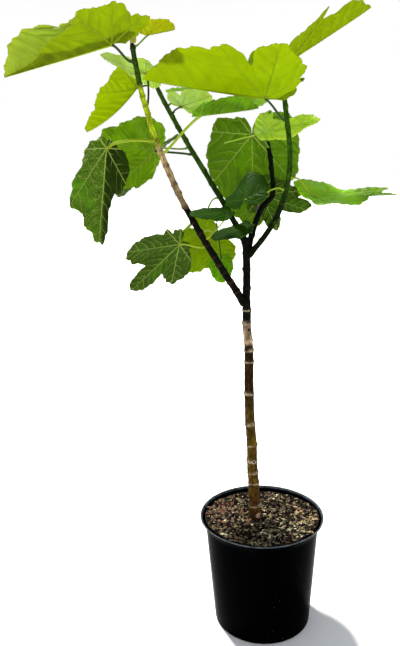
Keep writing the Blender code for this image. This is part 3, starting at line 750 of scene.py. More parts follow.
# %% Compost: the lumpy surface
SOIL_LEVEL = 0.2200
SOIL_HEAP = 0.0030
SOIL_HEAP_WIDTH = 0.042
SOIL_LUMP = 0.0045
SOIL_LUMP_SIZE = 0.020
SOIL_BRIM = 0.0068
SOIL_BRIM_WIDTH = 0.030
SOIL_BRIM_FADE = 1.4
SOIL_GRAINS = ((0.0022, 130.0), (0.0014, 300.0))
SOIL_FLAT_SPOT = 0.021
SOIL_HEAP_EASE = 0.008
SOIL_LUMP_EASE = 0.010
SOIL_DIP = 0.004
SOIL_GAP = 0.0003
SOIL_CORNER = 0.001
SOIL_RINGS = 46
SOIL_SIDES = 150
SOIL_EDGE = pot_radius(SOIL_LEVEL) - POT_WALL - SOIL_GAP


def bell(away, width):
    """1 at no distance, and near 0 at twice the width."""
    return math.exp(-((away / width) ** 2))


def soil_height(x, y):
    """Height of the compost's surface."""
    place = Vector((x, y, SOIL_LEVEL))
    to_wall = SOIL_EDGE - place.xy.length
    away = max(0.0, (place.xy - TRUNK_FOOT.xy).length - SOIL_FLAT_SPOT)
    inward = max(0.0, min(1.0, to_wall / SOIL_HEAP_EASE))
    brim = max(0.0, 1.0 - to_wall / SOIL_BRIM_WIDTH)
    forward = max(0.0, 1.0 - max(0.0, y / SOIL_EDGE) * SOIL_BRIM_FADE)
    height = SOIL_LEVEL + SOIL_HEAP * bell(away, SOIL_HEAP_WIDTH) * inward + SOIL_BRIM * brim ** 2 * forward
    height += SOIL_LUMP * noise.noise(place / SOIL_LUMP_SIZE) * min(1.0, away / SOIL_LUMP_EASE)
    return height + sum(depth * noise.noise(place * fineness) for depth, fineness in SOIL_GRAINS)


def build_compost():
    """A body that fills the pot, with a displaced top."""
    floor_radius = pot_radius(POT_FLOOR) - POT_WALL - SOIL_GAP
    profile = [(0.0, POT_FLOOR + SOIL_GAP), (floor_radius - SOIL_CORNER, POT_FLOOR + SOIL_GAP)]
    profile += [(pot_radius(height) - POT_WALL - SOIL_GAP, height) for height in flare_heights()
                if height < SOIL_LEVEL - SOIL_CORNER]
    profile += [(SOIL_EDGE * ring / SOIL_RINGS, SOIL_LEVEL) for ring in range(SOIL_RINGS, -1, -1)]
    shape = spin(profile, SOIL_SIDES)
    for vertex in shape.verts:
        if vertex.co.z > SOIL_LEVEL - SOIL_GAP:
            vertex.co.z = max(SOIL_LEVEL - SOIL_DIP, soil_height(vertex.co.x, vertex.co.y))
            if vertex.co.xy.length > SOIL_EDGE - SOIL_GAP:
                vertex.co.z = max(SOIL_LEVEL, vertex.co.z)
    return shape


# %% Compost: damp crumbly stuff, with painted shade in its crevices
COMPOST = ((0.005, 0.004, 0.003), (0.040, 0.027, 0.018))
PATCH_FINENESS = 60.0
CRUMB_FINENESS = 420.0
GRIT_FINENESS = 900.0
# How dark the painted shade in the crevices is, as a share of the dark colour.
CREVICE_SHADE = 0.4
EARTH_RELIEF = 0.0006


def scaled(color, factor):
    """A colour made lighter or darker."""
    return tuple(min(1.0, value * factor) for value in color)


def earth_finish(name, dark, light, rough=0.95):
    """Damp crumbly stuff between two colours, with painted shade in its crevices."""
    earth = Finish(name)
    patches = earth.noise(PATCH_FINENESS, 5.0, 0.7)
    crumbs = earth.cells(CRUMB_FINENESS)
    color = earth.blend(patches.step(0.30, 0.70), dark, light)
    # Painted shade in the gaps between crumbs.
    color = earth.blend(crumbs.step(0.2, 0.8) * 0.5, color, scaled(dark, CREVICE_SHADE))
    return earth.close(earth.principled(
        Base_Color=color, Roughness=rough, Specular_IOR_Level=0.04,
        Normal=earth.bump(earth.noise(GRIT_FINENESS, 4.0) + crumbs, EARTH_RELIEF)))


make_piece("compost", build_compost(), [earth_finish("damp compost", *COMPOST)], ["soil"])

# %% [markdown]
# ## Crumbs, chips and flecks
#
# Loose bits lie on real compost: peat crumbs, bark chips in red and tan, and straw flecks. They could be a
# particle system. Here over three thousand small icospheres are stretched, turned and half sunk by a dealer
# of random numbers with a fixed seed, so that each run lays them alike. Each kind is joined into one piece
# with its own colours, and the chips lie thicker round one place each.

# %% Compost: loose crumbs, chips and flecks
LITTER_SEED = 21
LITTER_ROUGHNESS = 0.85
LITTER_MARGIN = 0.003
LITTER_WALL_GAP = 0.004
LITTER_TRUNK_GAP = 0.015
LITTER_STRETCH = (0.7, 1.3)
LITTER_TILTS = ((0.35, "X"), (0.3, "Y"))
LITTER_LIFT = 0.35
LITTER_BUMPS = 0.28
Litter = namedtuple("Litter", "count low high flat long dark light")
LITTER = {
    "crumbs_dark": Litter(1400, 0.0012, 0.0042, 0.80, 1.2, (0.004, 0.003, 0.003), (0.022, 0.016, 0.012)),
    "crumbs_brown": Litter(1000, 0.0009, 0.0036, 0.65, 1.6, (0.060, 0.042, 0.026), (0.220, 0.155, 0.100)),
    "crumbs_olive": Litter(700, 0.0008, 0.0030, 0.60, 1.8, (0.140, 0.120, 0.060), (0.360, 0.310, 0.170)),
    "chips_red": Litter(140, 0.0014, 0.0044, 0.35, 2.4, (0.130, 0.050, 0.030), (0.300, 0.150, 0.095)),
    "chips_tan": Litter(150, 0.0014, 0.0048, 0.32, 2.4, (0.240, 0.150, 0.070), (0.540, 0.400, 0.220)),
    "chips_straw": Litter(320, 0.0008, 0.0030, 0.35, 2.8, (0.420, 0.390, 0.200), (0.860, 0.800, 0.600)),
}
Heap = namedtuple("Heap", "middle spread share")
HEAPS = {
    "chips_red": Heap(Vector((-0.075, 0.030)), 0.028, 0.8),
    "chips_tan": Heap(Vector((0.095, -0.020)), 0.026, 0.6),
    "chips_straw": Heap(Vector((0.040, -0.060)), 0.038, 0.6),
}


def litter_spot(heap, dealer):
    """A random spot on the compost, or one near the middle of the heap."""
    radius = (SOIL_EDGE - LITTER_MARGIN) * math.sqrt(dealer.random())
    angle = dealer.uniform(0.0, math.tau)
    spot = Vector((radius * math.cos(angle), radius * math.sin(angle)))
    if dealer.random() < (heap.share if heap else 0.0):
        return heap.middle + Vector((dealer.gauss(0, heap.spread), dealer.gauss(0, heap.spread)))
    return spot


def add_lump(shape, litter, spot, dealer):
    """A stretched, turned and half sunk lump with a rough skin."""
    size = litter.low + (litter.high - litter.low) * dealer.random() ** 2
    stretch = Vector((size * litter.long * dealer.uniform(*LITTER_STRETCH), size, size * litter.flat))
    turn = Matrix.Rotation(dealer.uniform(0, math.tau), 4, "Z")
    for tilt, axis in LITTER_TILTS:
        turn = turn @ Matrix.Rotation(dealer.gauss(0, tilt), 4, axis)
    place = Matrix.Translation((*spot, soil_height(*spot) + stretch.z * LITTER_LIFT))
    lump = bmesh.ops.create_icosphere(shape, subdivisions=1, radius=1.0,
                                      matrix=place @ turn @ Matrix.Diagonal((*stretch, 1.0)))["verts"]
    for vertex in lump:
        vertex.co += (vertex.co - place.translation) * dealer.uniform(-LITTER_BUMPS, LITTER_BUMPS)


def scatter_litter(name, litter, dealer):
    """Lay lumps of one kind on the compost, clear of the wall and the trunk."""
    shape = bmesh.new()
    for _ in range(litter.count):
        spot = litter_spot(HEAPS.get(name), dealer)
        clear = (spot - TRUNK_FOOT.xy).length >= LITTER_TRUNK_GAP
        if clear and spot.length <= SOIL_EDGE - LITTER_WALL_GAP:
            add_lump(shape, litter, spot, dealer)
    return shape


litter_dealer = random.Random(LITTER_SEED)
for litter_name, litter in LITTER.items():
    litter_finish = earth_finish(litter_name.replace("_", " "), litter.dark, litter.light, LITTER_ROUGHNESS)
    make_piece(litter_name, scatter_litter(litter_name, litter, litter_dealer), [litter_finish])

# %% [markdown]
# ## Trunk and boughs
#
# Fig wood keeps the scar of every leaf it has dropped: a low ridge right round the stem with a half-moon
# pad on one side. A bevelled curve would be quicker, but it can't carry scars. Here a limb is a sleeve whose
# radius is worked out point by point from its taper, the flare at its foot, those nodes and a little wrinkled
# noise, so the relief is real and catches the light.

# %% Limbs: nodes and relief
ROOT_FLARE = 0.0032
ROOT_FLARE_HEIGHT = 0.018
Relief = namedtuple("Relief", "girth first gap ridge pad wrinkle swell wobble tip sides step")
RELIEFS = {
    "trunk": Relief(1.17, 0.012, 0.034, 0.0008, 0.0019, 0.00050, 0.0, 0.0030, 0.0, 44, 0.0011),
    "leader": Relief(1.12, 0.022, 0.034, 0.0006, 0.0014, 0.00050, 0.0, 0.0008, 0.0, 36, 0.0012),
    "bough_left": Relief(1.00, 0.030, 0.025, 0.0006, 0.0015, 0.00040, 0.35, 0.0013, 0.35, 32, 0.0012),
    "bough_rear": Relief(0.95, 0.035, 0.040, 0.0003, 0.0010, 0.00018, 0.30, 0.0010, 0.45, 30, 0.0013),
    "bough_middle": Relief(0.92, 0.030, 0.036, 0.0005, 0.0014, 0.00030, 0.30, 0.0016, 0.40, 30, 0.0013),
    "bough_right": Relief(0.84, 0.036, 0.044, 0.0003, 0.0009, 0.00016, 0.45, 0.0010, 0.45, 30, 0.0013),
}
TRUNK_SCARS = ((0.026, 5.2), (0.075, 0.4), (0.097, 5.0), (0.122, 3.3), (0.156, 0.0), (0.198, 4.3),
               (0.262, 3.2), (0.325, 0.2), (0.347, 4.9), (0.367, 4.6), (0.402, 2.6), (0.428, 0.4))
NODE_END_GAP = 0.008
NODE_SPREAD = (0.7, 1.25)
NODE_CROWDING = 0.35
NODE_TURN = 0.5


def limb_radius(name, height, share):
    """Plain radius of a limb, with the trunk's flare at its foot."""
    limb = LIMBS[name]
    radius = limb.foot_radius + (limb.tip_radius - limb.foot_radius) * share
    if name == "trunk":
        radius += ROOT_FLARE * math.exp(-(height - TRUNK_FOOT.z) / ROOT_FLARE_HEIGHT)
    return radius


def limb_nodes(limb, relief, length, dealer):
    """Where the leaf scars are along a limb, and on which side."""
    if limb is LIMBS["trunk"]:
        return list(TRUNK_SCARS)
    nodes = []
    place = relief.first
    turn = dealer.uniform(0.0, math.tau)
    while place < length - NODE_END_GAP:
        nodes.append((place, turn))
        place += relief.gap * dealer.uniform(*NODE_SPREAD) * (1.0 - NODE_CROWDING * place / length)
        turn += math.pi + dealer.uniform(-NODE_TURN, NODE_TURN)
    return nodes


print(len(TRUNK_SCARS), "scars on the trunk")


# %% Limbs: the sleeve, with its sway, scars, pads and wrinkles
COARSE_STEPS = 60
MIN_LIMB_STEPS = 12
HELD_LENGTH = 0.05
SWAY_GAPS = 1.8
SWELL_LENGTH = 0.016
TIP_LENGTH = 0.010
RIDGE_WIDTH = 0.0011
SKIRT_WIDTH = 0.005
SKIRT_SHARE = 0.5
PAD_RISE = 0.002
PAD_LENGTH = 0.0032
SCAR_WIDTH = 0.0013
SCAR_PAD_LENGTH = 0.0030
WRINKLE_TURNS = 1.6
WRINKLE_RUN = 70.0
WRINKLE_FINENESS = 1.7
END_SHARE = 0.9


def facing(angle, turn):
    """1 on the side that a node's pad is on, 0 on the far side."""
    return 0.5 + 0.5 * math.cos(angle - turn)


def build_limb(name, dealer):
    """A limb that sways a little, with its scars, pads and wrinkles."""
    limb, relief = LIMBS[name], RELIEFS[name]
    length = run_lengths(route(limb, COARSE_STEPS))[-1]
    points = route(limb, max(MIN_LIMB_STEPS, round(length / relief.step)))
    walked = run_lengths(points)
    nodes = limb_nodes(limb, relief, length, dealer)
    offset = dealer.uniform(0, 50)
    for index, place in enumerate(walked):
        held = min(1.0, place / HELD_LENGTH, (length - place) / HELD_LENGTH)
        sway = noise.noise_vector(Vector((place / (SWAY_GAPS * relief.gap), offset, 0.0)))
        points[index] += sway * relief.wobble * max(0.0, held)

    def radius(angle, row):
        place = walked[row]
        size = limb_radius(name, points[row].z, row / (len(points) - 1)) * relief.girth
        size *= 1.0 + relief.swell * bell(place, SWELL_LENGTH)
        left = max(0.0, 1.0 - (length - place) / TIP_LENGTH)
        size *= 1.0 - relief.tip * left ** 2
        for node, turn in nodes:
            away = place - node
            if abs(away) < SWELL_LENGTH:
                size += relief.ridge * bell(away, RIDGE_WIDTH)
                size += relief.ridge * SKIRT_SHARE * bell(away, SKIRT_WIDTH)
                size += relief.pad * facing(angle, turn) ** 3 * bell(away - PAD_RISE, PAD_LENGTH)
        spot = Vector((math.cos(angle) * WRINKLE_TURNS, math.sin(angle) * WRINKLE_TURNS,
                       place * WRINKLE_RUN + offset))
        size += relief.wrinkle * noise.fractal(spot * WRINKLE_FINENESS, 0.8, 2.0, 4)
        return size * END_SHARE if row in (0, len(points) - 1) else size

    def scar(angle, row):
        mark = 0.0
        for node, turn in nodes:
            away = walked[row] - node
            pad = facing(angle, turn) ** 4 * bell(away - PAD_RISE, SCAR_PAD_LENGTH)
            mark = max(mark, bell(away, SCAR_WIDTH), pad)
        return mark

    shape = bmesh.new()
    add_sleeve(shape, points, radius, relief.sides, mark=scar)
    return shape


print("scars are about", round(1000 * RELIEFS["bough_left"].gap), "mm apart on the left bough")

# %% [markdown]
# ## Bark
#
# Young fig bark is green near the tips and turns grey and brown lower down, with corky pale scars and small
# specks. A painted picture would need unwrapping. Here a ramp on the height gives each limb its run of
# colours, streaks follow the sleeve's own map, and the scars come from a number that the mesh carries. The
# ramps also hold painted shade: where the crown shades the wood, they run near black.

# %% Bark: each limb's colours by height above the floor, with painted shade where the crown shades it
# The near-black stretches are painted shade, where the crown shades the wood.
BARK_AND_SHADE_RAMPS = {
    "trunk": (
        (0.2233, (0.045, 0.018, 0.005)), (0.262, (0.060, 0.028, 0.006)), (0.300, (0.066, 0.038, 0.005)),
        (0.420, (0.056, 0.034, 0.005)),
        (0.500, (0.018, 0.009, 0.002)), (0.580, (0.016, 0.008, 0.002)), (0.586, (0.190, 0.130, 0.080)),
        (0.620, (0.170, 0.120, 0.080)), (0.634, (0.003, 0.003, 0.002)),
    ),
    "leader": ((0.660, (0.002, 0.002, 0.002)), (0.790, (0.002, 0.003, 0.002))),
    "bough_left": (
        (0.66, (0.002, 0.002, 0.001)), (0.845, (0.003, 0.003, 0.002)), (0.862, (0.170, 0.120, 0.065)),
        (0.950, (0.260, 0.190, 0.090)), (0.963, (0.200, 0.260, 0.010)), (1.040, (0.240, 0.320, 0.006)),
        (1.054, (0.020, 0.050, 0.003)), (1.112, (0.008, 0.024, 0.002)),
    ),
    "bough_rear": (
        (0.78, (0.002, 0.003, 0.002)), (0.880, (0.008, 0.026, 0.002)), (1.000, (0.034, 0.086, 0.007)),
        (1.082, (0.034, 0.080, 0.008)),
    ),
    "bough_middle": ((0.76, (0.002, 0.003, 0.001)), (0.967, (0.003, 0.005, 0.002))),
    "bough_right": (
        (0.75, (0.002, 0.003, 0.001)), (0.850, (0.004, 0.010, 0.001)), (0.900, (0.014, 0.044, 0.002)),
        (1.070, (0.018, 0.060, 0.002)),
    ),
}
SCARS = {
    "trunk": (0.440, 0.350, 0.230), "leader": (0.020, 0.018, 0.012), "bough_left": (0.045, 0.026, 0.010),
    "bough_rear": (0.020, 0.050, 0.006), "bough_middle": (0.010, 0.012, 0.006),
    "bough_right": (0.060, 0.110, 0.008),
}
SCAR_SHARES = {"trunk": 0.85, "bough_left": 0.55}
print(len(BARK_AND_SHADE_RAMPS), "barks")

# %% Bark: streaks, patches, scars and specks
BARK_DRIFT = 0.012
BARK_STREAKS = (7.0, 34.0, 1.0)
STREAK_TINT = (3.0, 3.0, 2.8)
PATCH_TINT = (0.45, 0.42, 0.38)
USUAL_SCAR_SHARE = 0.35
BARK_RELIEF = 0.0004


def bark_finish(name, stops):
    """Bark coloured by height, with painted shade, streaked along the limb and marked at its scars."""
    bark = Finish("bark " + name.replace("_", " "))
    low, high = stops[0][0], stops[-1][0]
    drift = (bark.noise(45.0, 2.0) - 0.5) * BARK_DRIFT
    color = bark.node("ShaderNodeValToRGB", {"Fac": (bark.height() + drift - low) / (high - low)},
                      stops=[((z - low) / (high - low), tint) for z, tint in stops])
    streaks = bark.streaks(BARK_STREAKS, 4.0, 0.6)
    color = bark.blend(streaks.step(0.46, 0.72) * 0.8, color, bark.tinted(color, STREAK_TINT))
    patches = bark.noise(120.0, 4.0)
    color = bark.blend(patches.step(0.55, 0.40) * 0.8, color, bark.tinted(color, PATCH_TINT))
    broken = bark.noise(170.0, 2.0).step(0.30, 0.60)
    scar = bark.attribute("scar") * broken * SCAR_SHARES.get(name, USUAL_SCAR_SHARE)
    color = bark.blend(scar, color, SCARS[name])
    specks = bark.cells(310.0).step(0.20, 0.10) * bark.noise(60.0, 1.0).step(0.50, 0.62)
    color = bark.blend(specks * 0.35, color, SCARS[name])
    relief = bark.noise(600.0, 4.0) * 0.6 + streaks * 0.8 + specks * 0.8
    return bark.close(bark.principled(
        Base_Color=color, Roughness=0.60 + streaks * 0.25, Specular_IOR_Level=0.03,
        Normal=bark.bump(relief, BARK_RELIEF)))


LIMB_SEED = 5
limb_dealer = random.Random(LIMB_SEED)
# Without a seed, noise_vector takes its offsets from the clock and the limbs sway anew in each run.
noise.seed_set(LIMB_SEED)
for limb_name in LIMBS:
    limb_finish = bark_finish(limb_name, BARK_AND_SHADE_RAMPS[limb_name])
    make_piece("bark_" + limb_name, build_limb(limb_name, limb_dealer), [limb_finish],
               [limb_name])

# %% [markdown]
# ## The leaves
#
# A fig leaf is a tough lobed sheet with rounded teeth, a strong midrib, a main vein to each lobe and side
# veins that leave them at a steep slant. The tissue bulges up between the veins. The blade is a polar grid
# with its teeth cut into the outline and its bulges raised. Each face of the grid knows which main vein it
# belongs to, and its UV map measures metres along and across that vein, so the shader can draw the fine
# veins with a few lines of arithmetic.

# %% Blades: main veins, side veins and the bulges between them
SIDE_VEIN_SLOPE = 0.52
SIDE_VEIN_CURVE = 2.10
SIDE_VEIN_SHARE = 0.125
SIDE_VEIN_GAP = 0.011
BULGE = 0.0015
BULGE_EASE = 0.008
FRILL = 0.011
FRILLS = 8
FRILL_PHASE = 2.3
NOTCH_ANGLE = 174
FULL_LENGTH = 0.12


def grown(leaf):
    """1 for a full-grown leaf and less for a small one."""
    return min(1.0, leaf.length / FULL_LENGTH)


def vein_frame(leaf, angle, distance, vein):
    """Metres along and across one main vein, for a point given by direction and distance."""
    flat = Vector((distance * math.cos(angle), distance * math.sin(angle) * leaf.breadth))
    turn = math.radians(vein)
    main = Vector((math.cos(turn), math.sin(turn) * leaf.breadth)).normalized()
    return flat.dot(main), main.x * flat.y - main.y * flat.x


def nearest_vein(leaf, angle):
    """The main vein whose sector holds a direction, in degrees and signed."""
    turn = math.degrees(angle)
    vein = min(VEINS[half_name(leaf.outline, angle)], key=lambda value: abs(abs(turn) - value))
    return math.copysign(vein, turn)


def vein_gap(leaf):
    """Distance between two side veins."""
    return max(SIDE_VEIN_GAP, leaf.length * SIDE_VEIN_SHARE)


def sector_share(leaf, angle):
    """How far a direction is from its main vein, as a share of the way to where the next sector begins."""
    turn = abs(math.degrees(angle))
    veins = VEINS[half_name(leaf.outline, angle)]
    vein = min(veins, key=lambda value: abs(turn - value))
    gaps = [abs(other - vein) / 2 for other in veins if (other - vein) * (turn - vein) > 0]
    return min(1.0, abs(turn - vein) / (min(gaps) if gaps else NOTCH_ANGLE - vein))


def side_phase(leaf, along, across):
    """How far a point is through the gap between two side veins, from 0 to 1."""
    spacing = vein_gap(leaf)
    place = along - abs(across) * SIDE_VEIN_SLOPE - across ** 2 * SIDE_VEIN_CURVE / leaf.length
    if across > 0:
        place += spacing / 2
    return (place / spacing) % 1.0


def surface_point(leaf, phase, angle, distance, share, lift=0.0):
    """A point of the blade with the tissue's bulges between its veins and its frilled edge."""
    along, across = vein_frame(leaf, angle, distance, nearest_vein(leaf, angle))
    bulge = math.sin(math.pi * side_phase(leaf, along, across)) ** 2 * min(1.0, abs(across) / BULGE_EASE)
    lift += BULGE * bulge * grown(leaf)
    lift += FRILL * leaf.length * share ** 4 * math.sin(FRILLS * angle + FRILL_PHASE * phase)
    return blade_point(leaf, phase, angle, distance, share, lift)


print("side veins of the biggest leaf are", round(1000 * vein_gap(LEAVES["top_centre"])), "mm apart")

# %% Blades: lobules and teeth cut into the outline
TOOTH = 0.0072
TOOTH_DEPTH = 0.0011
LOBULE = 0.0200
LOBULE_DEPTH = 0.0030
SCALLOP_MIDDLE = 0.6
TOOTH_WANDER = 0.0022
TOOTH_WANDER_RATE = 140.0
DEEP_EDGE = 0.3


def scallop(place, length, phase=0.0):
    """How far a row of round teeth stands out at a place, about 0."""
    return abs(math.sin(math.pi * place / length + phase)) - SCALLOP_MIDDLE


def margin(leaf, phase, columns):
    """Distance from the stalk to the edge at each column, shallower where the edge is near the stalk."""
    size = grown(leaf)
    walked = 0.0
    last = None
    result = []
    for angle in columns:
        edge = leaf.length * reach(angle, leaf.outline)
        spot = Vector((edge * math.cos(angle), edge * math.sin(angle) * leaf.breadth))
        walked += (spot - last).length if last else 0.0
        last = spot
        wander = walked + TOOTH_WANDER * math.sin(walked * TOOTH_WANDER_RATE + phase)
        depth = TOOTH_DEPTH * scallop(wander, TOOTH * size)
        depth += LOBULE_DEPTH * scallop(wander, LOBULE * size, phase)
        result.append(edge + depth * size * min(1.0, edge / (DEEP_EDGE * leaf.length)))
    return result


print("a tooth every", 1000 * TOOTH, "mm and a lobule every", 1000 * LOBULE, "mm")

# %% Blades: the sheet laid out from the stalk
BLADE_THICKNESS = 0.0006
COLUMN_STEP = 0.0014
RING_STEP = 0.0060
OUTLINE_STEPS = 400
MIN_COLUMNS = 80
MIN_RINGS = 9
RING_CROWDING = 0.85
TOOTH_ROOM = 6
BLADE_NUMBERS = ("outward", "border", "half", "forth")


def blade_columns(leaf):
    """Directions of the sheet's columns, as many as the length of the edge asks for."""
    half = math.radians(NOTCH_ANGLE)
    outline = [half * (1 - 2 * step / OUTLINE_STEPS) for step in range(OUTLINE_STEPS + 1)]
    rim = [leaf.length * reach(angle, leaf.outline) for angle in outline]
    girth = sum(math.dist((a * math.cos(s), a * math.sin(s)), (b * math.cos(t), b * math.sin(t)))
                for a, b, s, t in zip(rim, rim[1:], outline, outline[1:]))
    count = max(MIN_COLUMNS, round(girth / COLUMN_STEP))
    return [half * (1 - 2 * step / count) for step in range(count + 1)]


def build_blade(leaf, phase):
    """A leaf's blade with its vein map and the numbers that its finish reads."""
    columns = blade_columns(leaf)
    count = len(columns) - 1
    rings = max(MIN_RINGS, round(leaf.length / RING_STEP))
    toothed = margin(leaf, phase, columns)
    plain = [leaf.length * reach(angle, leaf.outline) for angle in columns]
    shape = bmesh.new()
    bmesh.ops.create_grid(shape, x_segments=count, y_segments=rings, size=0.5)
    uv = shape.loops.layers.uv.new("vein")
    layers = [shape.verts.layers.float.new(name) for name in BLADE_NUMBERS]
    polar = {}
    for vertex in shape.verts:
        column = round((vertex.co.x + 0.5) * count)
        angle = columns[column]
        share = (round((vertex.co.y + 0.5) * rings) / rings) ** RING_CROWDING
        weight = share ** TOOTH_ROOM
        distance = share * (plain[column] * (1 - weight) + toothed[column] * weight)
        polar[vertex] = (angle, distance)
        forth = distance * math.cos(angle) / leaf.length
        for layer, value in zip(layers, (share, sector_share(leaf, angle), angle, forth)):
            vertex[layer] = value
        vertex.co = surface_point(leaf, phase, angle, distance, share)
    for face in shape.faces:
        middle = sum(polar[vertex][0] for vertex in face.verts) / len(face.verts)
        vein = nearest_vein(leaf, middle)
        for loop in face.loops:
            loop[uv].uv = vein_frame(leaf, *polar[loop.vert], vein)
    bmesh.ops.remove_doubles(shape, verts=shape.verts, dist=WELD)
    return shape


def thicken(item):
    """Give a blade its thickness, with the second material on its under side."""
    sheet = item.modifiers.new("thickness", "SOLIDIFY")
    sheet.thickness = BLADE_THICKNESS
    sheet.offset = 0.0
    sheet.material_offset = 1


print("the biggest leaf has", len(blade_columns(LEAVES["top_centre"])), "columns")

# %% [markdown]
# ## Leaf tissue
#
# A leaf is a thin wet sheet. Part of the sun's light comes back from its face, and part comes out yellower
# on the far side. Subsurface scattering could do this, but on so thin a sheet a Translucent shader mixed
# with the usual one is quicker and cleaner. Every leaf has the plain base colours of its kind, and many kinds
# are copies of one green with sunlight, shade and the sky's sheen painted in. Its veins, its net, its
# mottling and its patches are worked out from its own coordinates, with a finish for each face. Painted
# shade, highlights and glints lie across its panels. One leaf has a half painted lit and a half painted in
# shade, and two have their far parts painted in shade.

# %% Leaf tissue: the colours of the two faces, with painted light and shade, and of the light that comes through
Look = namedtuple("Look", "slot upper vein_upper lower vein_lower glow share gloss sheen veins")
# Many kinds are copies of one green with painted light and shade. The sunlit and lit kinds are lit copies,
# of the sky.
# the dark and plain kinds are shaded copies, and the pale faces of the sheeny kinds hold a painted sheen
LOOKS = {
    "sunlit": Look("leaf_sunlit", (0.100, 0.190, 0.002), (0.300, 0.400, 0.020), (0.120, 0.180, 0.001),
                   (0.300, 0.380, 0.008), (0.56, 0.69, 0.002), 0.62, 0.50, 0.05, 0.40),
    # A copy of the sunlit green, dimmed with painted shade for a leaf that is partly shaded.
    "sunlit_shaded": Look("leaf_sunlit", (0.080, 0.140, 0.002), (0.260, 0.340, 0.020), (0.095, 0.140, 0.001),
                   (0.260, 0.330, 0.008), (0.50, 0.61, 0.002), 0.61, 0.50, 0.05, 0.50),
    # Its pale, bluish upper face is a painted sheen of the sky.
    "crest": Look("leaf_sunlit", (0.320, 0.460, 0.060), (0.440, 0.580, 0.110), (0.110, 0.150, 0.001),
                  (0.300, 0.370, 0.006), (0.51, 0.62, 0.002), 0.57, 0.55, 0.08, 0.80),
    "young": Look("leaf_sunlit", (0.300, 0.340, 0.006), (0.450, 0.480, 0.040), (0.300, 0.340, 0.005),
                  (0.450, 0.480, 0.040), (0.66, 0.70, 0.005), 0.50, 0.50, 0.05, 0.5),
    "lit": Look("leaf_fresh", (0.150, 0.240, 0.004), (0.400, 0.500, 0.060), (0.180, 0.280, 0.004),
                (0.420, 0.500, 0.060), (0.48, 0.64, 0.004), 0.58, 0.50, 0.05, 0.7),
    "fresh": Look("leaf_fresh", (0.080, 0.190, 0.001), (0.330, 0.480, 0.050), (0.110, 0.225, 0.001),
                  (0.380, 0.520, 0.080), (0.40, 0.62, 0.002), 0.52, 0.48, 0.06, 0.9),
    "crisp": Look("leaf_fresh", (0.090, 0.220, 0.001), (0.320, 0.470, 0.040), (0.095, 0.220, 0.001),
                  (0.320, 0.480, 0.050), (0.34, 0.62, 0.002), 0.50, 0.44, 0.08, 1.1),
    "glossy": Look("leaf_fresh", (0.260, 0.560, 0.003), (0.460, 0.700, 0.040), (0.080, 0.170, 0.002),
                   (0.240, 0.360, 0.040), (0.42, 0.70, 0.002), 0.42, 0.24, 0.28, 0.3),
    # Both faces hold a painted bluish sheen of the sky.
    "pale": Look("leaf_pale", (0.410, 0.600, 0.055), (0.540, 0.700, 0.160), (0.340, 0.500, 0.050),
                 (0.480, 0.620, 0.130), (0.56, 0.78, 0.030), 0.38, 0.26, 0.30, 0.35),
    # A lighter copy of the pale kind, with the sky's bluish sheen painted into both faces.
    "pale_sheen": Look("leaf_pale", (0.560, 0.860, 0.080), (0.680, 0.920, 0.220), (0.480, 0.760, 0.080),
                 (0.640, 0.860, 0.200), (0.70, 0.96, 0.040), 0.40, 0.24, 0.34, 0.35),
    "veined": Look("leaf_fresh", (0.066, 0.145, 0.001), (0.560, 0.720, 0.120), (0.080, 0.165, 0.002),
                   (0.520, 0.660, 0.120), (0.31, 0.52, 0.002), 0.42, 0.44, 0.06, 1.2),
    # Painted shade: the green of leaves that lie in shade.
    "dark": Look("leaf_dark", (0.018, 0.052, 0.001), (0.380, 0.500, 0.090), (0.024, 0.070, 0.002),
                 (0.340, 0.450, 0.080), (0.10, 0.21, 0.001), 0.28, 0.42, 0.03, 1.1),
    # Painted shade, as in the dark kind, with faint veins.
    "plain": Look("leaf_dark", (0.016, 0.060, 0.001), (0.050, 0.130, 0.006), (0.026, 0.082, 0.002),
                  (0.060, 0.130, 0.006), (0.09, 0.22, 0.001), 0.30, 0.36, 0.03, 0.15),
}
print(len(LOOKS), "kinds of leaf")

# %% Leaf tissue: lines of main veins, side veins and the net between them
MAIN_WIDTH = 0.0009
MAIN_TIP_WIDTH = 0.0004
SIDE_WIDTH = 0.0006
SIDE_TIP_WIDTH = 0.0003
WIDE_LENGTH = 0.15
SMALL_SHARE = 0.35
WANDERS = ((26.0, 2.0, 0.012), (110.0, 1.0, 0.003))
MIDRIB_STEP = 0.00001
NET_FINENESS = 230.0
RUNGS_ALONG = 4.0
RUNGS_ACROSS = 5.0
Pattern = namedtuple("Pattern", "panel outward main side net rungs")


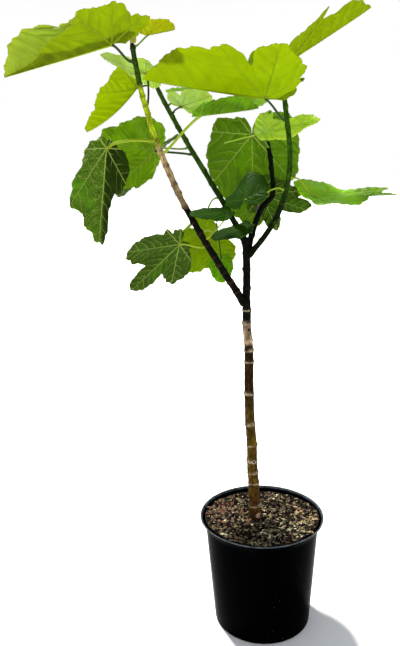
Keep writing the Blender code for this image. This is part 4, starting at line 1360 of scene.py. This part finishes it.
def vein_pattern(green, leaf):
    """Masks for the veins, and wires for how far a point is through its panel and out from the stalk."""
    flat = green.node("ShaderNodeUVMap", uv_map="vein")
    parts = green.node("ShaderNodeSeparateXYZ", {"Vector": flat})
    along, across = parts.part("X"), parts.part("Y")
    aside = abs(across)
    spacing = vein_gap(leaf)
    place = along - aside * SIDE_VEIN_SLOPE - across * across * (SIDE_VEIN_CURVE / leaf.length)
    place = place + across.step(-MIDRIB_STEP, MIDRIB_STEP) * (spacing / 2)
    for fineness, detail, shift in WANDERS:
        place = place + (green.noise(fineness, detail) - 0.5) * shift
    panel = (place / spacing).fract()
    from_vein = spacing / 2 - abs(panel - 0.5) * spacing
    outward = green.attribute("outward")
    inner = 1.0 - green.attribute("border").step(0.55, 1.0)
    size = SMALL_SHARE + (1.0 - SMALL_SHARE) * min(1.0, leaf.length / WIDE_LENGTH)
    main_width = (1.0 - along / leaf.length).larger(0.10) * (MAIN_WIDTH * size) + MAIN_TIP_WIDTH
    main = 1.0 - (aside / main_width).step(0.50, 1.20)
    side_width = (1.0 - outward).larger(0.30) * inner.larger(0.30) * (SIDE_WIDTH * size) + SIDE_TIP_WIDTH
    side = (1.0 - (from_vein / side_width).step(0.40, 1.30)) * (0.25 + 0.75 * inner)
    net = green.cells(NET_FINENESS, "DISTANCE_TO_EDGE", flat).step(0.085, 0.02)
    ladder = place / spacing * RUNGS_ALONG + aside / spacing * RUNGS_ACROSS + green.noise(45.0, 1.0) * 2.0
    rungs = 1.0 - abs(ladder.fract() - 0.5).step(0.02, 0.10)
    return Pattern(panel, outward, main, side, net, rungs)


print("veins taper from", 2000 * (MAIN_WIDTH + MAIN_TIP_WIDTH), "mm to", 2000 * MAIN_TIP_WIDTH, "mm")

# %% Leaf tissue: the green between the veins, with painted shade, highlights, glints and sheen
MOTTLE = (0.74, 1.22)
WARMTH = (1.9, 1.35, 1.0)
# Painted shade and highlight on each bulging panel between side veins.
PANEL_SHADE = 0.40
PANEL_HIGHLIGHT = 1.8
# Painted glints: patches this many times lighter than the tissue.
GLINT = 2.6
# The colour of the sky's sheen, painted in patches on the sheeny kinds.
SHEEN_TINT = (0.500, 0.660, 0.300)
SHEEN_LIMIT = 0.2
# Painted light and shade on a leaf's halves: factors for its left and its right half.
HALF_SHADING = {"left_front": (0.45, 2.4)}
HALF_EDGE = 0.10
# Painted shade over the far part of a blade: a factor on its tissue.
FAR_SHADE = {"right": 0.42, "pale_left": 0.60}


def tissue_color(green, words, tint, vein_tint, look, pattern, mottle):
    """Mottled tissue with warm patches, and painted shade, highlights, glints and sheen."""
    fade = look.veins
    warm = tuple(min(1.0, value * factor) for value, factor in zip(tint, WARMTH))
    tissue = green.blend(mottle.step(0.34, 0.66), scaled(tint, MOTTLE[0]), scaled(tint, MOTTLE[1]))
    tissue = green.blend(green.noise(9.0, 2.0).step(0.46, 0.74) * 0.45, tissue, warm)
    # Painted shade towards the far side of each panel, and a painted highlight beside its vein.
    tissue = green.blend(pattern.panel.step(0.15, 0.95) * (0.40 * fade), tissue, scaled(tint, PANEL_SHADE))
    vein_side = 1.0 - pattern.panel.step(0.0, 0.35)
    tissue = green.blend(vein_side * (0.30 * fade), tissue, scaled(tint, PANEL_HIGHLIGHT))
    tissue = green.blend(pattern.net * (0.16 * fade) + pattern.rungs * (0.10 * fade), tissue, vein_tint)
    tissue = green.blend(pattern.outward.step(0.86, 1.0) * 0.35, tissue, warm)
    # Painted glints on the strongly veined kinds.
    glints = green.noise(17.0, 2.0).step(0.56, 0.66)
    tissue = green.blend(glints * max(0.0, 0.9 * (fade - 0.5)), tissue, scaled(tint, GLINT))
    # Painted sheen of the sky, in patches.
    if look.sheen > SHEEN_LIMIT:
        tissue = green.blend(green.noise(12.0, 2.0).step(0.52, 0.72) * 0.5, tissue, SHEEN_TINT)
    # One half of the blade painted lit, the other painted in shade.
    if words in HALF_SHADING:
        left, right = (green.tinted(tissue, (tone,) * 3) for tone in HALF_SHADING[words])
        tissue = green.blend(green.attribute("half").step(0.0, HALF_EDGE), right, left)
    # The far part of the blade painted in shade.
    if words in FAR_SHADE:
        far = (green.attribute("forth") + mottle * 0.1).step(0.46, 0.60)
        tissue = green.blend(far, tissue, green.tinted(tissue, (FAR_SHADE[words],) * 3))
    return tissue


print("glints on a leaf are", GLINT, "times as light as its tissue")

# %% Leaf tissue: both faces of each leaf
MAIN_SHADE = 0.25
SIDE_SHADE = 0.22
NET_SHADE = 0.06
BLADE_RELIEF = 0.0012


def blade_finish(words, leaf, tint, vein_tint, look, above):
    """One face of a leaf, with its veins sunk above and raised below, and light coming through."""
    green = Finish("leaf " + words + (" above" if above else " below"))
    pattern = vein_pattern(green, leaf)
    fade = look.veins
    mottle = green.noise(38.0, 4.0, 0.6)
    fine = green.noise(1400.0, 2.0)
    veins = pattern.main.larger(pattern.side * (0.85 * fade))
    tissue = tissue_color(green, words, tint, vein_tint, look, pattern, mottle)
    color = green.blend(veins * 0.92, tissue, vein_tint)
    swell = abs(pattern.panel - 0.5) * (2.4 * min(1.0, fade + 0.15))
    raised = veins + pattern.net * 0.2 + pattern.rungs * 0.2 + swell
    relief = fine * 0.12 - raised if above else raised + fine * 0.12
    normal = green.bump(relief, BLADE_RELIEF)
    surface = green.principled(Base_Color=color, Roughness=look.gloss + veins * 0.08 + fine * 0.06,
                               Specular_IOR_Level=look.sheen, Normal=normal)
    through = green.node("ShaderNodeBsdfTranslucent", {"Color": look.glow, "Normal": normal})
    shade = 0.84 + mottle * 0.20 + (1.0 - pattern.panel) * (0.20 * fade)
    lines = pattern.main * MAIN_SHADE + pattern.side * (SIDE_SHADE * fade) + pattern.net * NET_SHADE
    factor = (1.0 - lines) * shade * look.share
    return green.close(green.node("ShaderNodeMixShader", {0: factor, 1: surface, 2: through}))


for leaf_name, leaf_row in LEAVES.items():
    look = LOOKS[leaf_row.look]
    faces = [blade_finish(leaf_name, leaf_row, look.upper, look.vein_upper, look, True),
             blade_finish(leaf_name, leaf_row, look.lower, look.vein_lower, look, False)]
    blade = make_piece("blade_" + leaf_name, build_blade(leaf_row, PHASES[leaf_name]), faces,
                       ["leaf_" + leaf_name])
    thicken(blade)

# %% [markdown]
# ## Leaf stalks and ribs
#
# A fig's leaf stalk is swollen where it joins the wood, round and smooth, and it runs on under the blade as
# the midrib, with a thinner rib to each lobe. A curve with a bevel would make one quickly. A sleeve lets its
# thickness follow a rule and joins the others in one piece. That piece has five finishes, because a stalk in
# the sun is nearly yellow, one in the shade is dark, and the ribs are paler than both.

# %% Stalks: each one's way from the limb to the blade
STALK_COLLAR = 0.003
STALK_STEPS = 22
STALK_RISE = 0.5
STALK_BEND = 0.28
STALK_UNDER = 0.2
STALK_GAP = 0.0006
STALK_SUNK = 0.0015


def stalk_route(leaf):
    """Points from the limb to the blade's base, bent as the plain solid's stalk is."""
    root, run = limb_place(leaf.limb, leaf.at)
    base = Vector(leaf.base)
    outward = base - root
    outward = (outward - run * outward.dot(run)).normalized()
    start = root + outward * (limb_radius(leaf.limb, root.z, leaf.at) + STALK_GAP)
    forward, _, up = leaf_axes(leaf)
    arriving = ((base - start).normalized() + forward.lerp(up, STALK_UNDER)).normalized()
    collar = start + outward * STALK_COLLAR
    leaving = (outward + run * STALK_RISE).normalized()
    pull = (base - collar).length * STALK_BEND
    return [start - outward * STALK_SUNK] + interpolate_bezier(
        collar, collar + leaving * pull, base - arriving * pull, base, STALK_STEPS)


stalk_length = run_lengths(stalk_route(LEAVES["top_centre"]))[-1]
print("the biggest leaf's stalk is", round(1000 * stalk_length), "mm long")

# %% Ribs: under the blade along each main vein
RIB_STEPS = 18
RIB_RADIUS = 0.0011
RIB_END_RADIUS = 0.00030
RIB_SIDES = 6
RIB_START = 0.0006
RIB_SUNK = 0.0002
RIB_SUNK_SHARE = 0.45
RIB_TAPER = 0.7
MIDRIB_REACH = 0.93
LOBE_RIB_REACH = 0.84
LOBE_RIB_SIZES = (0.7, 0.5)
LOW_VEIN = 100
RIB_LENGTH = 0.14
RIB_SCALES = (0.6, 1.2)


def add_rib(shape, leaf, phase, vein, thick, far, material):
    """A rib under the blade along one main vein."""
    angle = math.radians(vein)
    edge = leaf.length * reach(angle, leaf.outline) * far

    def radius(_, row):
        return thick + (RIB_END_RADIUS - thick) * (row / RIB_STEPS) ** RIB_TAPER

    points = []
    for step in range(RIB_STEPS + 1):
        distance = max(RIB_START, edge * step / RIB_STEPS)
        sunk = -RIB_SUNK - radius(0.0, step) * RIB_SUNK_SHARE
        points.append(surface_point(leaf, phase, angle, distance, step / RIB_STEPS * far, sunk))
    add_sleeve(shape, points, radius, RIB_SIDES, material)


def add_ribs(shape, leaf, phase, material):
    """All ribs of one leaf, thinner to the side lobes and thinnest to the lowest ones."""
    smallest, largest = RIB_SCALES
    thick = RIB_RADIUS * min(largest, max(smallest, leaf.length / RIB_LENGTH))
    add_rib(shape, leaf, phase, 0.0, thick, MIDRIB_REACH, material)
    for side in (1, -1):
        for vein in VEINS[half_name(leaf.outline, side)]:
            if vein > 0:
                share = LOBE_RIB_SIZES[0] if vein < LOW_VEIN else LOBE_RIB_SIZES[1]
                add_rib(shape, leaf, phase, vein * side, thick * share, LOBE_RIB_REACH, material)


print("the biggest ribs are", 2000 * RIB_RADIUS * RIB_SCALES[1], "mm thick at the stalk")

# %% Stalks: colours and sizes, and the piece they make
STALK_RADIUS = 0.0018
STALK_FOOT_RADIUS = 0.0026
STALK_NECK = 0.0004
STALK_END_ROWS = 3.0
STALK_SIDES = 10
STALK_TONES = ("yellow", "green", "dark", "rib_bright", "rib_pale")
STALK_LOOKS = {
    "left_front": "yellow", "right": "yellow", "serrate": "yellow", "narrow_left": "yellow",
    "dark_inner": "yellow", "lobed": "yellow", "left_low": "yellow", "top_centre": "dark",
    "top_left": "dark", "left_pendent": "dark", "left_behind": "dark", "round": "dark",
    "narrow_low": "dark", "pale_left": "dark", "pale": "dark", "low_right": "dark",
}
STALK_SIZES = {
    "left_front": 1.35, "top_left": 1.15, "top_centre": 1.10, "right": 0.85, "serrate": 1.25,
    "left_behind": 1.15, "round": 0.65, "narrow_low": 0.75, "narrow_left": 0.75, "dark_inner": 0.85,
    "young": 0.75,
}
# Leaves of these kinds get the brighter rib finish, a lit copy of the pale one.
BRIGHT_LOOKS = ("sunlit", "sunlit_shaded", "crest", "young")


def build_stalks():
    """Every stalk with its ribs."""
    shape = bmesh.new()
    for name, leaf in LEAVES.items():
        material = STALK_TONES.index(STALK_LOOKS.get(name, "green"))
        rib = STALK_TONES.index("rib_bright" if leaf.look in BRIGHT_LOOKS else "rib_pale")
        size = STALK_SIZES.get(name, 1.0)
        points = stalk_route(leaf)
        last = len(points) - 1

        def radius(_, row):
            foot = max(0.0, 1.0 - row / STALK_END_ROWS)
            neck = max(0.0, 1.0 - (last - row) / STALK_END_ROWS)
            return STALK_RADIUS * size + (STALK_FOOT_RADIUS - STALK_RADIUS) * foot + STALK_NECK * neck

        add_sleeve(shape, points, radius, STALK_SIDES, material)
        add_ribs(shape, leaf, PHASES[name], rib)
    return shape


STALK_STREAKS = (14.0, 60.0, 1.0)
STALK_RELIEF = 0.0002


def stalk_finish(name, dark, light, glow, share=0.20):
    """Smooth stalk skin, streaked along and a little glossy."""
    stalk = Finish(name)
    streaks = stalk.streaks(STALK_STREAKS, 3.0, 0.5)
    color = stalk.blend(streaks.step(0.35, 0.65), dark, light)
    color = stalk.blend(stalk.noise(30.0, 2.0).step(0.5, 0.8) * 0.4, color, light)
    surface = stalk.principled(Base_Color=color, Roughness=0.42 + streaks * 0.12, Specular_IOR_Level=0.2,
                               Normal=stalk.bump(streaks + stalk.noise(800.0, 2.0) * 0.3, STALK_RELIEF))
    through = stalk.node("ShaderNodeBsdfTranslucent", {"Color": glow})
    return stalk.close(stalk.node("ShaderNodeMixShader", {0: share, 1: surface, 2: through}))


make_piece("stalks", build_stalks(), [
    stalk_finish("stalk yellow green", (0.16, 0.26, 0.004), (0.34, 0.42, 0.015), (0.50, 0.70, 0.01)),
    stalk_finish("stalk green", (0.06, 0.14, 0.004), (0.16, 0.26, 0.012), (0.30, 0.50, 0.01)),
    stalk_finish("stalk dark green", (0.010, 0.030, 0.003), (0.030, 0.070, 0.005), (0.08, 0.18, 0.01)),
    stalk_finish("rib bright", (0.24, 0.34, 0.010), (0.36, 0.46, 0.030), (0.62, 0.74, 0.01), 0.55),
    stalk_finish("rib pale", (0.18, 0.29, 0.030), (0.28, 0.40, 0.060), (0.34, 0.50, 0.03), 0.30),
])

# %% [markdown]
# ## Small growths
#
# Every bough ends in a pointed bud. A pruned stub shows its cut wood and pith, a dead twig stands where a
# shoot failed, two new sprouts break out low down, and the trunk has round eyes where side shoots were cut.
# Each could be a cone. A short bent sleeve between two points looks grown, and one rule makes them all, so
# they are one piece with five finishes.

# %% Small growths: where each one starts and ends
Shoot = namedtuple("Shoot", "foot tip radius end_radius tone")
SHOOT_BEND = 0.12
SHOOT_PLUMP = 0.35
SHOOT_TAPER = 1.3
SHOOT_STEPS = 14
SHOOT_SIDES = 14
SHOOT_TONES = ("bud", "green", "dead", "stub", "core")
SHOOTS = {
    "bud_left": Shoot((-0.2120, -0.1125, 1.1110), (-0.2165, -0.1145, 1.1330), 0.0030, 0.0004, "bud"),
    "bud_scale": Shoot((-0.2080, -0.1120, 1.1120), (-0.2075, -0.1130, 1.1270), 0.0022, 0.0004, "bud"),
    "bud_rear": Shoot((-0.1910, 0.1180, 1.0810), (-0.1960, 0.1210, 1.0960), 0.0026, 0.0004, "green"),
    "bud_middle": Shoot((0.0230, 0.0880, 0.9660), (0.0240, 0.0900, 0.9780), 0.0026, 0.0004, "green"),
    "bud_right": Shoot((0.0380, -0.0320, 1.0690), (0.0390, -0.0330, 1.0850), 0.0030, 0.0004, "bud"),
    "dead_twig": Shoot((-0.0040, 0.0450, 0.8215), (0.0000, 0.0450, 0.8707), 0.0022, 0.0016, "dead"),
    "twig_sprout": Shoot((-0.0010, 0.0450, 0.8660), (-0.0050, 0.0450, 0.8850), 0.0030, 0.0006, "green"),
    "low_sprout": Shoot((-0.1280, -0.0100, 0.8190), (-0.1390, -0.0120, 0.8120), 0.0026, 0.0006, "green"),
    "eye_low": Shoot((-0.0155, -0.0045, 0.3455), (-0.0153, -0.0086, 0.3468), 0.0032, 0.0028, "stub"),
    "eye_low_core": Shoot((-0.0153, -0.0085, 0.3468), (-0.0153, -0.0091, 0.3470), 0.0017, 0.0015, "core"),
    "eye_middle": Shoot((-0.0219, 0.0115, 0.6135), (-0.0219, 0.0078, 0.6138), 0.0028, 0.0024, "core"),
    "eye_high": Shoot((-0.0237, 0.0120, 0.6312), (-0.0237, 0.0084, 0.6315), 0.0026, 0.0022, "core"),
    "stub": Shoot((-0.0110, -0.0110, 0.2300), (-0.0035, -0.0170, 0.2345), 0.0042, 0.0040, "stub"),
    "stub_core": Shoot((-0.0037, -0.0168, 0.2344), (-0.0028, -0.0176, 0.2350), 0.0026, 0.0024, "core"),
}
print(len(SHOOTS), "small growths")


def add_shoot(shape, shoot):
    """A pointed bud or a short twig, bent a little."""
    foot, tip = Vector(shoot.foot), Vector(shoot.tip)
    away = (tip - foot).orthogonal().normalized() * (tip - foot).length * SHOOT_BEND
    first, second = (foot.lerp(tip, share) + away for share in (0.33, 0.66))
    points = interpolate_bezier(foot, first, second, tip, SHOOT_STEPS)

    def radius(_, row):
        share = row / (len(points) - 1)
        plump = 1.0 + SHOOT_PLUMP * math.sin(math.pi * share)
        return (shoot.radius + (shoot.end_radius - shoot.radius) * share ** SHOOT_TAPER) * plump

    add_sleeve(shape, points, radius, SHOOT_SIDES, SHOOT_TONES.index(shoot.tone))


# %% Small growths: the piece they make
shoots = bmesh.new()
for shoot in SHOOTS.values():
    add_shoot(shoots, shoot)
make_piece("shoots", shoots, [
    stalk_finish("bud", (0.24, 0.26, 0.020), (0.50, 0.40, 0.080), (0.50, 0.60, 0.05)),
    stalk_finish("sprout", (0.16, 0.30, 0.010), (0.34, 0.50, 0.060), (0.40, 0.60, 0.05)),
    stalk_finish("dead wood", (0.040, 0.032, 0.022), (0.160, 0.130, 0.090), (0.10, 0.08, 0.05), 0.05),
    stalk_finish("cut wood", (0.320, 0.200, 0.130), (0.560, 0.420, 0.300), (0.30, 0.20, 0.10), 0.05),
    stalk_finish("cut pith", (0.010, 0.006, 0.004), (0.040, 0.020, 0.012), (0.05, 0.03, 0.02), 0.05),
])
